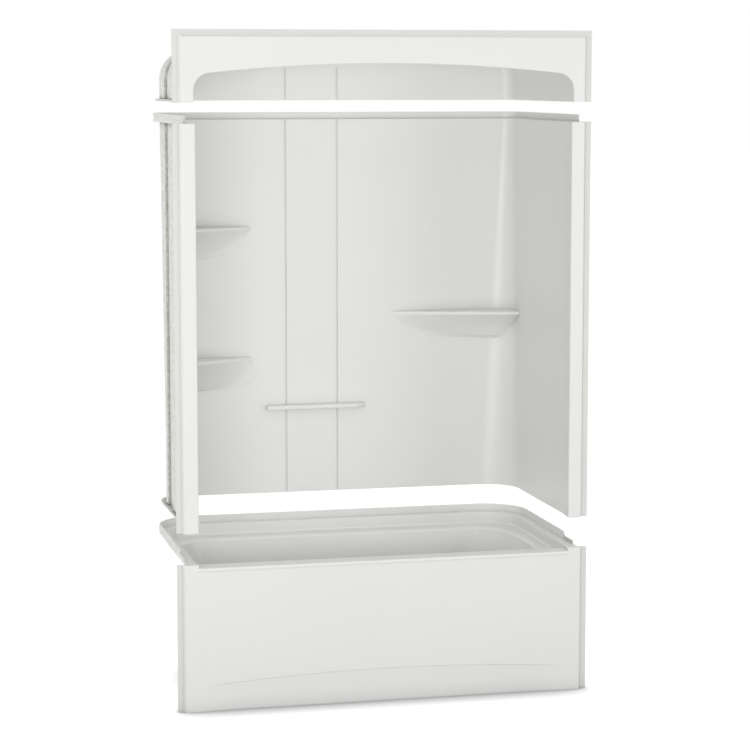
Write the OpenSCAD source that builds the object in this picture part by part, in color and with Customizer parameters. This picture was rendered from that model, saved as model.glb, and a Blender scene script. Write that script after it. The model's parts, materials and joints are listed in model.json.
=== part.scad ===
// Three-section alcove tub and shower combination, millimetres, Z up.
// The front looks towards -Y and the floor under the tub is z = 0.
// The origin is on the floor, in the middle of the width and of the depth.
// The sections are placed lifted apart, as they are shown; each one comes
// straight down on to the ledge of the one below it.

/* [Overall] */
// width over the two nailing flanges
overall_width = 1524; // [1370:1:1830]
// distance of each side wall's inside face from the end of the flange
wall_inset = 69.5; // [55:0.5:95]
// clear depth from the front face to the back wall
inside_depth = 786; // [700:1:900]
// thickness of the moulded skin
skin = 6; // [4:0.5:8]
// height of the tub up to the joint ledge
tub_height = 533; // [450:1:600]
// height of the wall section between its two joints
wall_height = 1446; // [1200:1:1600]
// height of the header section
header_height = 254; // [220:1:320]
// gap under the wall section in the lifted rest pose
wall_lift = 112; // [60:1:200]
// gap under the header section in the lifted rest pose
header_lift = 71; // [40:1:200]

/* [Front faces] */
// distance of the flat front face from the end of the flange
face_inset = 28; // [20:0.5:45]
// distance of a front column's inner edge from the end of the flange
column_inset = 77; // [62:0.5:105]
// radius on the edges of the front face
edge_radius = 5; // [2:0.5:8]
// distance the nailing flange stands behind the front face
flange_setback = 19; // [12:0.5:30]
// sideways run of the slope between face and flange
return_run = 8; // [4:0.5:12]
// depth over which a column narrows back to the side wall
flare_depth = 110; // [60:1:160]

/* [Corners] */
// inside radius of the back corners at the foot of the walls
low_corner = 130; // [80:1:180]
// inside radius of the back corners at the top of the walls
high_corner = 40; // [25:1:80]

/* [Lap joints] */
// reach of the lower lap flange beyond the inside face
low_lap = 28.5; // [22:0.5:40]
// height of the upstand above the tub ledge
low_upstand = 28.5; // [20:0.5:40]
// height of the cut-down front end of that upstand
low_upstand_end = 13; // [8:0.5:18]
// distance from the front face to the start of the tub upstand
low_upstand_start = 70; // [40:1:120]
// length of the cut-down front end
low_end_length = 104; // [60:1:150]
// reach of the upper lap flange beyond the inside face
high_lap = 22; // [18:0.5:30]
// height of the upstand above the wall section ledge
high_upstand = 26; // [16:0.5:40]
// distance from the front face to the start of the wall upstand
high_upstand_start = 34; // [30:1:80]
// thickness of both upstands
upstand_skin = 6; // [4:0.5:8]
// space between a lap flange and the upstand round it
lap_clearance = 2; // [1:0.5:4]
// thickness of a lap flange
lap_skin = 5; // [4:0.5:6]
// height of a lap flange underside above the joint face
lap_rise = 3; // [2:0.5:5]
// thickness of the foam joint seal
seal_thickness = 2.4; // [1.5:0.1:4]

/* [Tub] */
// drop from the joint ledge to the front rim
rim_drop = 12; // [6:1:40]
// drop from the front rim to the deck round the basin
deck_drop = 31; // [15:1:60]
// width of the front rim
rim_width = 75; // [50:1:110]
// height of the basin floor inside
basin_floor = 90; // [70:1:130]
// radius of the roll at the basin rim
rim_roll = 18; // [10:1:30]
// radius of the nosing along the front rim
nosing_radius = 8; // [5:0.5:12]
// distance the nosing stands in front of the face
nosing_reach = 2.5; // [1:0.5:4]
// height of the toe recess in the middle
toe_height = 121; // [90:1:160]
// depth of the toe recess at the floor
toe_depth = 10; // [4:0.5:14]
// distance of the toe recess from the end of the flange
toe_inset = 62; // [45:1:160]
// radius of the toe recess arch
toe_radius = 7700; // [4000:10:9000]
// radius of the toe recess corners
toe_corner = 100; // [50:1:115]
// depth of the return along the floor behind the apron
foot_return = 34; // [20:1:60]

/* [Basin] */
// width of the flat between the front rim wall and the basin
front_ledge = 10; // [4:1:40]
// width of the ledge at the back of the basin
back_ledge = 65; // [40:1:100]
// width of the ledge at the drain end of the basin
drain_ledge = 27.5; // [20:0.5:60]
// width of the ledge at the sloping end of the basin
slope_ledge = 32.5; // [20:0.5:60]
// radius of the basin corners at the drain end
basin_corner = 115; // [70:1:160]
// run of the swept corners along the tub
sweep_run = 130; // [90:1:200]
// width of the swept corners across the tub
sweep_width = 290; // [150:1:300]
// inward run of the front and back basin walls down to the floor
side_run = 84; // [40:1:120]
// inward run of the drain end wall down to the floor
drain_run = 67; // [30:1:100]
// inward run of the sloping end wall down to the floor
slope_run = 190; // [100:1:260]
// distance of the drain hole from the foot of the drain end wall
drain_inset = 68; // [50:1:90]
// radius of the drain hole
drain_radius = 26; // [20:0.5:32]
// radius of the overflow hole
overflow_radius = 28.5; // [22:0.5:34]
// drop from the deck to the overflow hole
overflow_drop = 90; // [70:1:160]
// radius of the flat pad round the overflow hole
overflow_pad = 44; // [38:1:60]
// distance the pad stands in front of the wall and behind it
pad_reach = 5.5; // [4:0.5:10]

/* [Wall features] */
// width of the two vertical grooves
groove_width = 8; // [5:0.5:12]
// depth of the grooves
groove_depth = 4; // [2:0.5:4.5]
// place of the left groove from the middle
groove_left = -210; // [-400:1:-100]
// place of the right groove from the middle
groove_right = -8; // [-100:1:100]
// height of the right shelf above the wall foot
right_shelf_height = 698; // [500:1:900]
// height of the lower left shelf above the wall foot
low_shelf_height = 533; // [400:1:700]
// height of the upper left shelf above the wall foot
high_shelf_height = 1036; // [900:1:1200]
// length of the right shelf along the back wall
right_shelf_along = 485; // [300:1:600]
// length of the right shelf along the side wall
right_shelf_aside = 124; // [100:1:200]
// length of the left shelves along the back wall
left_shelf_along = 348; // [250:1:450]
// length of the left shelves along the side wall
left_shelf_aside = 168; // [120:1:220]
// depth of the right shelf's bowl under its lip
right_bowl_depth = 94; // [60:1:140]
// depth of the lower left bowl
low_bowl_depth = 112; // [60:1:140]
// depth of the upper left bowl
high_bowl_depth = 105; // [60:1:140]
// outward bow of the right shelf's front
right_shelf_bow = 16; // [0:1:40]
// outward bow of the left shelves' fronts
left_shelf_bow = 10; // [0:1:40]
// fullness of the right bowl, low is rounder
right_shelf_fullness = 1.4; // [0.6:0.1:2.5]
// fullness of the lower left bowl
low_shelf_fullness = 0.8; // [0.6:0.1:2.5]
// fullness of the upper left bowl
high_shelf_fullness = 2.2; // [0.6:0.1:2.5]
// how soon the bowls draw back to the corner under their lips
bowl_tuck = 1.8; // [0.6:0.1:2.5]
// thickness of the shelf lips
shelf_lip = 12; // [8:1:20]
// rounding of the shelf lips
lip_radius = 3; // [1:0.5:5]
// place of the bar's left end from the middle
bar_left = -291; // [-400:1:-150]
// place of the bar's right end from the middle
bar_right = 107; // [60:1:300]
// height of the bar top above the wall foot
bar_height = 344; // [250:1:450]
// thickness of the bar from top to bottom
bar_thickness = 16; // [12:1:24]
// distance the bar stands off the wall
bar_reach = 36; // [25:1:60]
// length over which the bar's right end runs back to the wall
bar_taper = 52; // [30:1:90]
// distance of the studs from the bar's ends
stud_inset = 64; // [55:1:100]

/* [Header] */
// height of the arch crown above the header foot
arch_height = 136; // [110:1:170]
// radius of the arch crown
arch_radius = 6015; // [3000:5:9000]
// radius of the arch corners
arch_corner = 60; // [30:1:90]
// distance of the arch legs from the end of the flange
arch_inset = 72; // [60:0.5:110]
// width of the sunk border along the header top
border_height = 23.5; // [16:0.5:40]
// height at which the dome starts
dome_start = 78; // [50:1:110]
// radius of the dome edge
dome_radius = 110; // [60:1:130]
// height at which the dome starts over the back wall
dome_back_start = 128; // [100:1:150]

/* [Backing] */
// thickness of the bonded backing boards
board = 10; // [6:0.5:16]
// thickness of the boards under the basin, behind the apron and on the roof
stout_board = 12; // [9:0.5:18]
// distance of the floor board from the foot of the basin walls
floor_board_inset = 34; // [20:1:60]
// width of the timber bearers
bearer_width = 38; // [30:1:60]
// distance of the outer bearers from the foot of the basin walls
bearer_inset = 72; // [50:1:110]
// height of the timber under the front rim
rail_height = 24; // [18:1:40]
// distance of the timber under the front rim from the columns
rail_inset = 45; // [30:1:120]
// distance of the board behind the apron from the columns
apron_board_inset = 85; // [60:1:200]
// distance of that board from the toe recess and from the front rim
apron_board_margin = 40; // [30:1:90]
// width of the side boards in front of the open slot
front_board_width = 102; // [60:1:160]
// width of the side boards behind the open slot
rear_board_width = 52; // [30:1:70]
// width of the open slot between the side boards
slot_width = 118; // [60:1:180]
// distance of the open slot from the back wall
slot_setback = 226; // [215:1:300]
// width of the boards behind the back wall
back_board_width = 90; // [50:1:150]
// distance of those boards from the side walls
back_board_inset = 310; // [250:1:380]
// height of the board behind the bar
bar_board_height = 110; // [80:1:160]
// distance of the board behind the bar from the bar's ends
bar_board_inset = 10; // [5:1:30]
// distance of the fascia board from the ends of the front face
fascia_board_inset = 94; // [60:1:300]
// distance of the roof board from the side walls
roof_board_inset = 270; // [180:1:400]
// distance of the roof board from the front face and the back wall
roof_board_margin = 200; // [150:1:250]
// gap left at every bonded or seated face
seat_gap = 0.3; // [0.2:0.05:0.5]
// radius of the bar studs
stud_radius = 3; // [2.5:0.5:5]
// clearance round the studs
stud_clearance = 0.3; // [0.2:0.1:0.6]

/* [Hidden] */
$fn = 64;
tiny = 0.01;
far = 4000;
// how far cuts run past the ends of what they cut
overrun = 10;
// facets in a quarter turn of a lofted corner
corner_steps = 12;
overall_half = overall_width / 2;
inside_half = overall_half - wall_inset;
face_half = overall_half - face_inset;
column_half = overall_half - column_inset;
toe_half = overall_half - toe_inset;
arch_half = overall_half - arch_inset;
rim_height = tub_height - rim_drop;
deck_height = rim_height - deck_drop;
overflow_height = deck_height - overflow_drop;
flange_back = flange_setback + skin;
low_out = low_lap + lap_clearance + upstand_skin;
high_out = high_lap + lap_clearance + upstand_skin;
middle_depth = (inside_depth + low_out - nosing_reach) / 2;
wall_foot = tub_height + wall_lift;
header_foot = wall_foot + wall_height + header_lift;
dome_top = dome_start + dome_radius;
basin_under = basin_floor - skin;
basin_left = drain_ledge - inside_half;
basin_right = inside_half - slope_ledge;
basin_front = rim_width + front_ledge;
basin_back = inside_depth - back_ledge;
floor_left = basin_left + drain_run;
floor_right = basin_right - slope_run;
floor_front = basin_front + side_run;
floor_back = basin_back - side_run;
drain_x = floor_left + drain_inset;
drain_y = (floor_front + floor_back) / 2;
// rounding between the basin walls and the floor: height above the floor, growth of the floor plan
floor_rounding = [[0, -24], [3, -10], [11, 1], [22, 9], [36, 14]];
wall_start = floor_rounding[4];
overflow_x = floor_left - wall_start[1] - (drain_run - rim_roll - wall_start[1])
    * (overflow_height - basin_floor - wall_start[0])
    / (deck_height - rim_roll - basin_floor - wall_start[0]);
wall_bore = stud_radius + stud_clearance;
stud_places = [bar_left + stud_inset, bar_right - stud_inset];
shelf_steps = 14;
drain_notch = 1.8 * drain_radius;
rail_front = 2 * skin + stout_board - 4;
// distance that the header ribs reach in over the dome
rib_return = 60;
// radius of the bar's left end
bar_round = 5;
// depth of the stud holes in the bar, from the wall
stud_depth = bar_reach - 8;
// place of the washers outside the back wall, and the length of stud beyond it
nut_seat = skin + seat_gap + board;
stud_end = 8;
washer_thickness = 1.6;
nut_thickness = 5;
washer_share = 2.6;
nut_share = 1.85;
// gap between a foam strip and the edges of its lap flange
seal_inset = 2;
// size of the shelf bowls at the bottom, along the back wall and along the side wall
shelf_foot = [112, 20];
slot_rear = inside_depth - slot_setback;
slot_front = slot_rear - slot_width;
// gap between a board and the flange or ledge at its ends
board_end_gap = 4;
board_foot = lap_rise + lap_skin + board_end_gap;
board_height = wall_height - skin - board_foot - board_end_gap;
// shares of the deck's corner sizes that the basin's foot has
foot_corner_share = 0.8;
foot_sweep_share = [1.15, 0.78];
// share of its radius by which the dome's plan corners grow towards the roof
dome_corner_growth = 0.3;

// places: each section has its own foot plane as z = 0 and the front face as y = 0
module on_tub() translate([0, -middle_depth, 0]) children();
module on_wall() translate([0, -middle_depth, wall_foot]) children();
module on_header() translate([0, -middle_depth, header_foot]) children();
module both_sides() { children(); mirror([1, 0, 0]) children(); }

// inside plan of the alcove grown outwards by out; corners only at the back
module bay(out, corner, front = 0) {
    reach = inside_half + out;
    turn = corner + out;
    back = inside_depth + out;
    translate([-reach, front]) square([2 * reach, back - turn - front]);
    translate([turn - reach, front]) square([2 * (reach - turn), back - front]);
    for (side = [-1, 1]) translate([side * (reach - turn), back - turn]) circle(turn);
}

// ring of the alcove plan between two offsets
module bay_ring(inner, outer, corner, front = 0) {
    difference() {
        bay(outer, corner, front);
        bay(inner, corner, front - 1);
    }
}

// the same outline as a ring of points at height z, for lofts; turn is the corner's own radius,
// rear is the growth of the back where it isn't that of the sides
function bay_ring_points(out, turn, front, z, rear = undef) =
    let (reach = inside_half + out, back = inside_depth + (is_undef(rear) ? out : rear))
    concat([[reach, front, z]],
           [for (i = [0 : corner_steps]) let (a = 90 * i / corner_steps)
               [reach - turn + turn * cos(a), back - turn + turn * sin(a), z]],
           [for (i = [0 : corner_steps]) let (a = 90 + 90 * i / corner_steps)
               [turn - reach + turn * cos(a), back - turn + turn * sin(a), z]],
           [[-reach, front, z]]);

// a flat outline lifted to height z
function lifted(outline, z) = [for (p = outline) [p[0], p[1], z]];

// closed solid through a stack of rings with equal numbers of points, counter-clockwise
// when seen from the last ring's side
module loft(rings) {
    count = len(rings[0]);
    last = len(rings) - 1;
    polyhedron(
        points = [for (ring = rings) each ring],
        faces = concat(
            [[for (i = [0 : count - 1]) i]],
            [for (k = [0 : last - 1], i = [0 : count - 1])
                let (j = (i + 1) % count, low = k * count, high = low + count)
                each [[low + i, high + i, low + j], [low + j, high + i, high + j]]],
            [[for (i = [count - 1 : -1 : 0]) last * count + i]]));
}

// right-hand front strip from above: face, slope and nailing flange
module strip_plan() {
    polygon([[column_half + edge_radius, 0], [face_half - edge_radius, 0],
             [face_half, edge_radius], [face_half + return_run, flange_setback],
             [overall_half, flange_setback], [overall_half, flange_back],
             [face_half + return_run - skin + 1, flange_back],
             [face_half - skin, skin + 1], [face_half - skin, skin], [column_half + edge_radius, skin]]);
    translate([face_half - edge_radius, edge_radius]) circle(edge_radius);
}

// right-hand jamb from above: rounded inner edge narrowing back to the side wall
module jamb_plan() {
    translate([column_half + edge_radius, edge_radius]) circle(edge_radius);
    polygon([[column_half + edge_radius, 0], [column_half, edge_radius],
             [inside_half, flare_depth], [inside_half + skin, flare_depth],
             [inside_half + skin, skin], [inside_half + skin, 0]]);
}

// plate that closes a front column at a joint, right-hand side
module column_end_plan() {
    polygon([[column_half + edge_radius, 0], [column_half, edge_radius],
             [inside_half, flare_depth], [inside_half + skin, flare_depth],
             [inside_half + skin, flange_back], [overall_half, flange_back],
             [overall_half, flange_setback], [face_half + return_run, flange_setback],
             [face_half, edge_radius], [face_half - edge_radius, 0]]);
    translate([column_half + edge_radius, edge_radius]) circle(edge_radius);
    translate([face_half - edge_radius, edge_radius]) circle(edge_radius);
}

// arch outline, upright in x and z: a shallow crown, round corners and straight legs
module arch_outline(half, crown, radius, corner) {
    centre = crown - radius;
    corner_x = half - corner;
    corner_z = centre + sqrt(pow(radius - corner, 2) - pow(corner_x, 2));
    touch = corner_x * radius / (radius - corner);
    intersection() {
        translate([0, centre]) circle(radius, $fn = 720);
        translate([-touch, min(corner_z, 0)]) square([2 * touch, crown + 10 - min(corner_z, 0)]);
    }
    for (side = [-1, 1]) translate([side * corner_x, corner_z]) circle(corner);
    translate([-half, -10]) square([2 * half, max(corner_z, 0) + 10]);
}

// quarter of an ellipse as points
function quarter(cx, cy, rx, ry, start, steps) =
    [for (i = [0 : steps]) let (a = start + 90 * i / steps) [cx + rx * cos(a), cy + ry * sin(a)]];

// basin plan: round corners at the drain end, a long sweep at the other end
function basin_plan(x0, x1, y0, y1, left_r, sweep_x, sweep_y) = concat(
    quarter(x1 - sweep_x, y1 - sweep_y, sweep_x, sweep_y, 0, 10),
    quarter(x0 + left_r, y1 - left_r, left_r, left_r, 90, 6),
    quarter(x0 + left_r, y0 + left_r, left_r, left_r, 180, 6),
    quarter(x1 - sweep_x, y0 + sweep_y, sweep_x, sweep_y, 270, 10));

// the basin plan at the deck, drawn in by some distance
function deck_plan(inwards) =
    basin_plan(basin_left + inwards, basin_right - inwards, basin_front + inwards,
               basin_back - inwards, basin_corner - inwards, sweep_run - inwards / 2,
               sweep_width - inwards);

// basin plan near the floor, grown by some distance
function floor_plan(out) =
    basin_plan(floor_left - out, floor_right + out, floor_front - out, floor_back + out,
               basin_corner * foot_corner_share + out, sweep_run * foot_sweep_share[0] + out,
               sweep_width * foot_sweep_share[1] + out);

// the space of the basin with its rolled rim, or with out = skin the outside of its shell;
// a last ring at the height top closes it
module basin_solid(out, top) {
    roll = rim_roll - out;
    loft(concat(
        [for (step = floor_rounding) lifted(floor_plan(out + step[1]), basin_floor - out + step[0])],
        [for (a = [90 : -22.5 : 0])
            lifted(deck_plan(roll * sin(a)), deck_height - rim_roll + roll * cos(a))],
        [lifted(deck_plan(0), top)]));
}

module tub_shell() color("white") on_tub() difference() {
    union() {
        difference() {
            union() {
                tub_front();
                tub_ledges();
                basin_solid(skin, deck_height - skin / 2);
            }
            basin_solid(0, deck_height + overrun);
            // room above the deck
            translate([0, 0, deck_height]) linear_extrude(tub_height) bay(0, low_corner, flare_depth);
        }
        // flat pad that the overflow fitting clamps
        translate([overflow_x - skin - pad_reach, drain_y, overflow_height]) rotate([0, 90, 0])
            cylinder(skin + 2 * pad_reach, r = overflow_pad);
    }
    toe_recess();
    translate([drain_x, drain_y, basin_under - overrun]) cylinder(skin + 2 * overrun, r = drain_radius);
    translate([overflow_x - skin - pad_reach - overrun, drain_y, overflow_height]) rotate([0, 90, 0])
        cylinder(skin + 2 * pad_reach + 2 * overrun, r = overflow_radius);
}

// apron, front strips, posts and front rim
module tub_front() {
    both_sides() linear_extrude(tub_height) strip_plan();
    translate([-column_half - edge_radius, 0, 0])
        cube([2 * (column_half + edge_radius), skin, rim_height - nosing_radius]);
    // thicker foot behind the toe recess, with a return along the floor
    translate([-face_half + skin, tiny, 0])
        cube([2 * (face_half - skin), skin + toe_depth, toe_height + 2 * skin]);
    translate([-face_half + skin, skin, 0]) cube([2 * (face_half - skin), foot_return, skin]);
    // front rim with its nosing and the drop to the deck
    translate([-column_half, nosing_radius - nosing_reach, rim_height - nosing_radius])
        rotate([0, 90, 0]) cylinder(2 * column_half, r = nosing_radius);
    translate([-column_half, nosing_radius - nosing_reach, rim_height - skin])
        cube([2 * column_half, rim_width - nosing_radius + nosing_reach, skin]);
    translate([-inside_half - skin, rim_width - skin, deck_height - skin])
        cube([2 * (inside_half + skin), skin, deck_drop + skin]);
    // closed tops of the posts and their inner faces
    both_sides() translate([0, 0, tub_height - skin]) linear_extrude(skin) column_end_plan();
    both_sides() translate([0, 0, deck_height - skin])
        linear_extrude(tub_height - deck_height + skin) jamb_plan();
}

// deck, the wall above it, the joint ledge and the upstand, which is cut down at its front end
module tub_ledges() {
    translate([0, 0, deck_height - skin]) linear_extrude(skin) bay(tiny, low_corner, rim_width - skin);
    translate([0, 0, deck_height - skin]) linear_extrude(tub_height - deck_height + skin)
        bay_ring(0, skin, low_corner, flare_depth - 1);
    translate([0, 0, tub_height - skin]) linear_extrude(skin)
        bay_ring(0, low_out, low_corner, flange_setback);
    for (step = [[low_upstand_end, 0], [low_upstand, low_end_length]])
        translate([0, 0, tub_height - skin]) linear_extrude(step[0] + skin)
            bay_ring(low_out - upstand_skin, low_out, low_corner, low_upstand_start + step[1]);
}

// tilted cut under a shallow arch, deepest at the floor
module toe_recess() intersection() {
    translate([0, toe_depth + skin, 0]) rotate([90, 0, 0]) linear_extrude(toe_depth + skin + overrun)
        arch_outline(toe_half, toe_height, toe_radius, toe_corner);
    rotate([atan(toe_depth / toe_height), 0, 0]) translate([-far / 2, toe_depth - far / 8, -far / 8])
        cube([far, far / 8, far / 4]);
}

// board bonded under the basin floor, open round the drain
module floor_board() color("burlywood") on_tub() difference() {
    translate([floor_left + floor_board_inset, floor_front + floor_board_inset,
               basin_under - seat_gap - stout_board])
        cube([floor_right - floor_left - 3 * floor_board_inset,
              floor_back - floor_front - 2 * floor_board_inset, stout_board]);
    translate([drain_x, drain_y, 0]) cylinder(basin_floor, r = drain_notch);
    translate([drain_x - 2 * drain_inset, drain_y - drain_notch, 0])
        cube([2 * drain_inset, 2 * drain_notch, basin_floor]);
}

// timber bearer between the floor and the floor board
module bearer(start, y) translate([start, y - bearer_width / 2, 0])
    cube([floor_right - bearer_inset - start, bearer_width, basin_under - 2 * seat_gap - stout_board]);
module front_bearer() color("tan") on_tub() bearer(floor_left + bearer_inset, floor_front + bearer_inset);
module middle_bearer() color("tan") on_tub() bearer(drain_x + 2 * drain_inset, drain_y);
module back_bearer() color("tan") on_tub() bearer(floor_left + bearer_inset, floor_back - bearer_inset);

// board bonded behind the apron
module apron_board() color("burlywood") on_tub()
    translate([apron_board_inset - column_half, skin + seat_gap, toe_height + apron_board_margin])
        cube([2 * (column_half - apron_board_inset), stout_board,
              rim_height - toe_height - 2 * apron_board_margin]);

// timber under the front rim
module rim_rail() color("tan") on_tub()
    translate([rail_inset - column_half, rail_front, rim_height - skin - seat_gap - rail_height])
        cube([2 * (column_half - rail_inset), rim_width - skin - seat_gap - rail_front, rail_height]);

// space of the alcove, wide corners low and tight corners high, past both ends of the section
module wall_solid(out, front = flare_depth - 1) {
    loft([for (z = [-overrun, wall_height + overrun])
        bay_ring_points(out, low_corner + (high_corner - low_corner) * z / wall_height + out, front, z)]);
}

// V-groove with a flat bottom, pressed into the back wall
module groove(place, high) translate([place, inside_depth - 1, -1]) linear_extrude(high + 1)
    polygon([[-groove_width / 2 - 1, 0], [groove_width / 2 + 1, 0],
             [groove_width / 4, groove_depth + 1], [-groove_width / 4, groove_depth + 1]]);

module wall_shell() color("white") on_wall() difference() {
    union() {
        difference() {
            intersection() {
                wall_solid(skin);
                translate([-far / 2, 0, 0]) cube([far, far, wall_height]);
            }
            wall_solid(0, flare_depth - 2);
        }
        both_sides() linear_extrude(wall_height) { strip_plan(); jamb_plan(); }
        // closed column ends
        both_sides() for (z = [0, wall_height - skin])
            translate([0, 0, z]) linear_extrude(skin) column_end_plan();
        // lap flange at the foot
        translate([0, 0, lap_rise]) linear_extrude(lap_skin)
            bay_ring(skin - 1, low_lap, low_corner, flange_back - 1);
        // ledge and upstand at the top
        translate([0, 0, wall_height - skin]) linear_extrude(skin)
            bay_ring(skin / 2, high_out, high_corner, flange_back - 1);
        translate([0, 0, wall_height - skin]) linear_extrude(high_upstand + skin)
            bay_ring(high_out - upstand_skin, high_out, high_corner, high_upstand_start);
    }
    for (place = [groove_left, groove_right]) groove(place, wall_height + 1);
    at_studs(-overrun) cylinder(nut_seat + overrun, r = wall_bore);
}

// upright boards bonded outside the side walls, with an open slot between each pair
module side_board(front, wide) translate([inside_half + skin + seat_gap, front, board_foot])
    cube([board, wide, board_height]);
module front_side_board() side_board(slot_front - front_board_width, front_board_width);
module rear_side_board() side_board(slot_rear, rear_board_width);
module left_front_board() color("burlywood") on_wall() mirror([1, 0, 0]) front_side_board();
module left_rear_board() color("burlywood") on_wall() mirror([1, 0, 0]) rear_side_board();
module right_front_board() color("burlywood") on_wall() front_side_board();
module right_rear_board() color("burlywood") on_wall() rear_side_board();

// upright boards bonded behind the back wall
module back_board() translate([inside_half - back_board_inset - back_board_width / 2,
                               inside_depth + skin + seat_gap, board_foot])
    cube([back_board_width, board, board_height]);
module back_left_board() color("burlywood") on_wall() mirror([1, 0, 0]) back_board();
module back_right_board() color("burlywood") on_wall() back_board();

// board behind the accessory bar
module bar_backing_board() color("burlywood") on_wall() difference() {
    translate([bar_left + bar_board_inset, inside_depth + skin + seat_gap,
               bar_height - (bar_thickness + bar_board_height) / 2])
        cube([bar_right - bar_left - 2 * bar_board_inset, board, bar_board_height]);
    at_studs(0) cylinder(nut_seat + overrun, r = wall_bore);
}

// corner shelf: flat top with a lip and a bowl underneath, for the right-hand corner;
// along runs on the back wall and aside on the side wall
function shelf_ring(along, aside, bow, z) = concat([[inside_half, inside_depth, z]],
    [for (i = [0 : shelf_steps]) let (t = i / shelf_steps)
        [inside_half - along * (1 - t), inside_depth - aside * t - bow * 4 * t * (1 - t), z]]);
module shelf_solid(top, along, aside, bow, depth, fullness) intersection() {
    loft(concat(
        [for (k = [6 : -1 : 1]) let (a = 15 * k, share = cos(a), fall = pow(sin(a), fullness))
            shelf_ring(shelf_foot[0] + (along - shelf_foot[0]) * share,
                       shelf_foot[1] + (aside - shelf_foot[1]) * pow(1 - fall, bowl_tuck),
                       bow * share, top - shelf_lip - depth * fall)],
        [shelf_ring(along, aside, bow, top - shelf_lip),
         shelf_ring(along, aside, bow, top - lip_radius),
         shelf_ring(along - lip_radius, aside - lip_radius, bow, top)]));
    wall_solid(-seat_gap);
}
module right_shelf() color("white") on_wall()
    shelf_solid(right_shelf_height, right_shelf_along, right_shelf_aside, right_shelf_bow,
                right_bowl_depth, right_shelf_fullness);
module low_left_shelf() color("white") on_wall() mirror([1, 0, 0])
    shelf_solid(low_shelf_height, left_shelf_along, left_shelf_aside, left_shelf_bow,
                low_bowl_depth, low_shelf_fullness);
module high_left_shelf() color("white") on_wall() mirror([1, 0, 0])
    shelf_solid(high_shelf_height, left_shelf_along, left_shelf_aside, left_shelf_bow,
                high_bowl_depth, high_shelf_fullness);

// ledge-like bar on the back wall, blunt at the left and drawn back to the wall at the right
module accessory_bar() color("white") on_wall() difference() {
    translate([0, inside_depth - seat_gap, bar_height - bar_thickness]) linear_extrude(bar_thickness)
        polygon([[bar_left, -bar_reach + bar_round], [bar_left + 0.3 * bar_round, -bar_reach + 0.3 * bar_round],
                 [bar_left + bar_round, -bar_reach], [bar_right - bar_taper, -bar_reach],
                 [bar_right - 0.65 * bar_taper, -0.9 * bar_reach],
                 [bar_right - 0.27 * bar_taper, -0.6 * bar_reach], [bar_right, 0], [bar_left, 0]]);
    at_studs(-stud_depth) cylinder(stud_depth + overrun, r = wall_bore);
}

// one item at each stud place, drawn from the outside of the back wall
module at_studs(y) for (x = stud_places)
    translate([x, inside_depth + y, bar_height - bar_thickness / 2]) rotate([-90, 0, 0]) children();
module bar_studs() color("silver") on_wall()
    at_studs(seat_gap - stud_depth) cylinder(stud_depth + nut_seat + stud_end, r = stud_radius);
module bar_washers() color("silver") on_wall() at_studs(nut_seat + seat_gap)
    bored(washer_thickness) cylinder(washer_thickness, r = washer_share * stud_radius);
module bar_nuts() color("silver") on_wall() at_studs(nut_seat + 2 * seat_gap + washer_thickness)
    bored(nut_thickness) cylinder(nut_thickness, r = nut_share * stud_radius, $fn = 6);

// a washer or nut with the stud's bore through it
module bored(thick) difference() {
    children();
    translate([0, 0, -overrun]) cylinder(thick + 2 * overrun, r = wall_bore);
}

// foam strip under the lower lap flange
module wall_seal() color("dimgray") on_wall() translate([0, 0, lap_rise - seat_gap - seal_thickness])
    linear_extrude(seal_thickness) bay_ring(skin + seal_inset, low_lap - seal_inset, low_corner, flare_depth);

// raised block of the header face with rounded edges, sloping out to the flange plane;
// drawn in on every side by inwards
module face_block(inwards) {
    profile = concat([for (a = [90 : -22.5 : 0]) edge_radius * [1 - sin(a), 1 - cos(a)]],
                     [[flange_setback, -return_run]]);
    loft([for (step = profile) let (y = step[0] + inwards, half = face_half - step[1] - inwards,
                                    top = header_height - border_height - step[1] - inwards)
        [[half, y, top], [half, y, -overrun], [-half, y, -overrun], [-half, y, top]]]);
}

// growth of the dome's back wall at height z, for a space grown by out
function dome_rear(out, z) =
    let (radius = dome_top - dome_back_start + out, rise = min(max(0, z - dome_back_start), radius))
    out - radius + sqrt(radius * radius - rise * rise);

// domed space of the header grown by out, from below the foot up
module dome_solid(out, front) {
    radius = dome_radius + out;
    loft(concat(
        [bay_ring_points(out, high_corner + out, front, -overrun)],
        [for (a = [0 : 11.25 : 90]) let (inwards = radius * (1 - cos(a)) - out)
            bay_ring_points(-inwards, high_corner + out + dome_corner_growth * (inwards + out), front,
                            dome_start + radius * sin(a), dome_rear(out, dome_start + radius * sin(a)))]));
}

module header_shell() color("white") on_header() difference() {
    union() {
        // face with its sloping sides and the nailing flange round the sides and the top
        difference() {
            union() {
                face_block(0);
                translate([-overall_half, flange_setback, 0]) cube([overall_width, skin, header_height]);
            }
            face_block(skin);
            translate([-face_half - return_run + skin, flange_setback - tiny, -overrun])
                cube([2 * (face_half + return_run - skin), 2 * skin,
                      header_height - border_height + return_run - skin + overrun]);
        }
        // domed walls
        difference() {
            dome_solid(skin, skin / 2);
            dome_solid(0, 0);
        }
        // closed feet of the posts
        both_sides() linear_extrude(skin)
            polygon([[arch_half - 1, skin / 2], [face_half - edge_radius, skin / 2],
                     [face_half - skin / 2, edge_radius + skin / 2],
                     [face_half + return_run - skin / 2, flange_setback + skin / 2],
                     [arch_half - 1, flange_setback + skin / 2]]);
        // lap flange
        translate([0, 0, lap_rise]) linear_extrude(lap_skin)
            bay_ring(skin / 2, high_lap, high_corner, flange_back - 1);
    }
    // arch through the fascia
    translate([0, flange_back + overrun, 0]) rotate([90, 0, 0]) linear_extrude(flange_back + 2 * overrun)
        arch_outline(arch_half, arch_height, arch_radius, arch_corner);
    for (place = [groove_left, groove_right]) groove(place, dome_back_start + 1);
    translate([-far / 2, -far / 2, -far]) cube(far);
}

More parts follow.
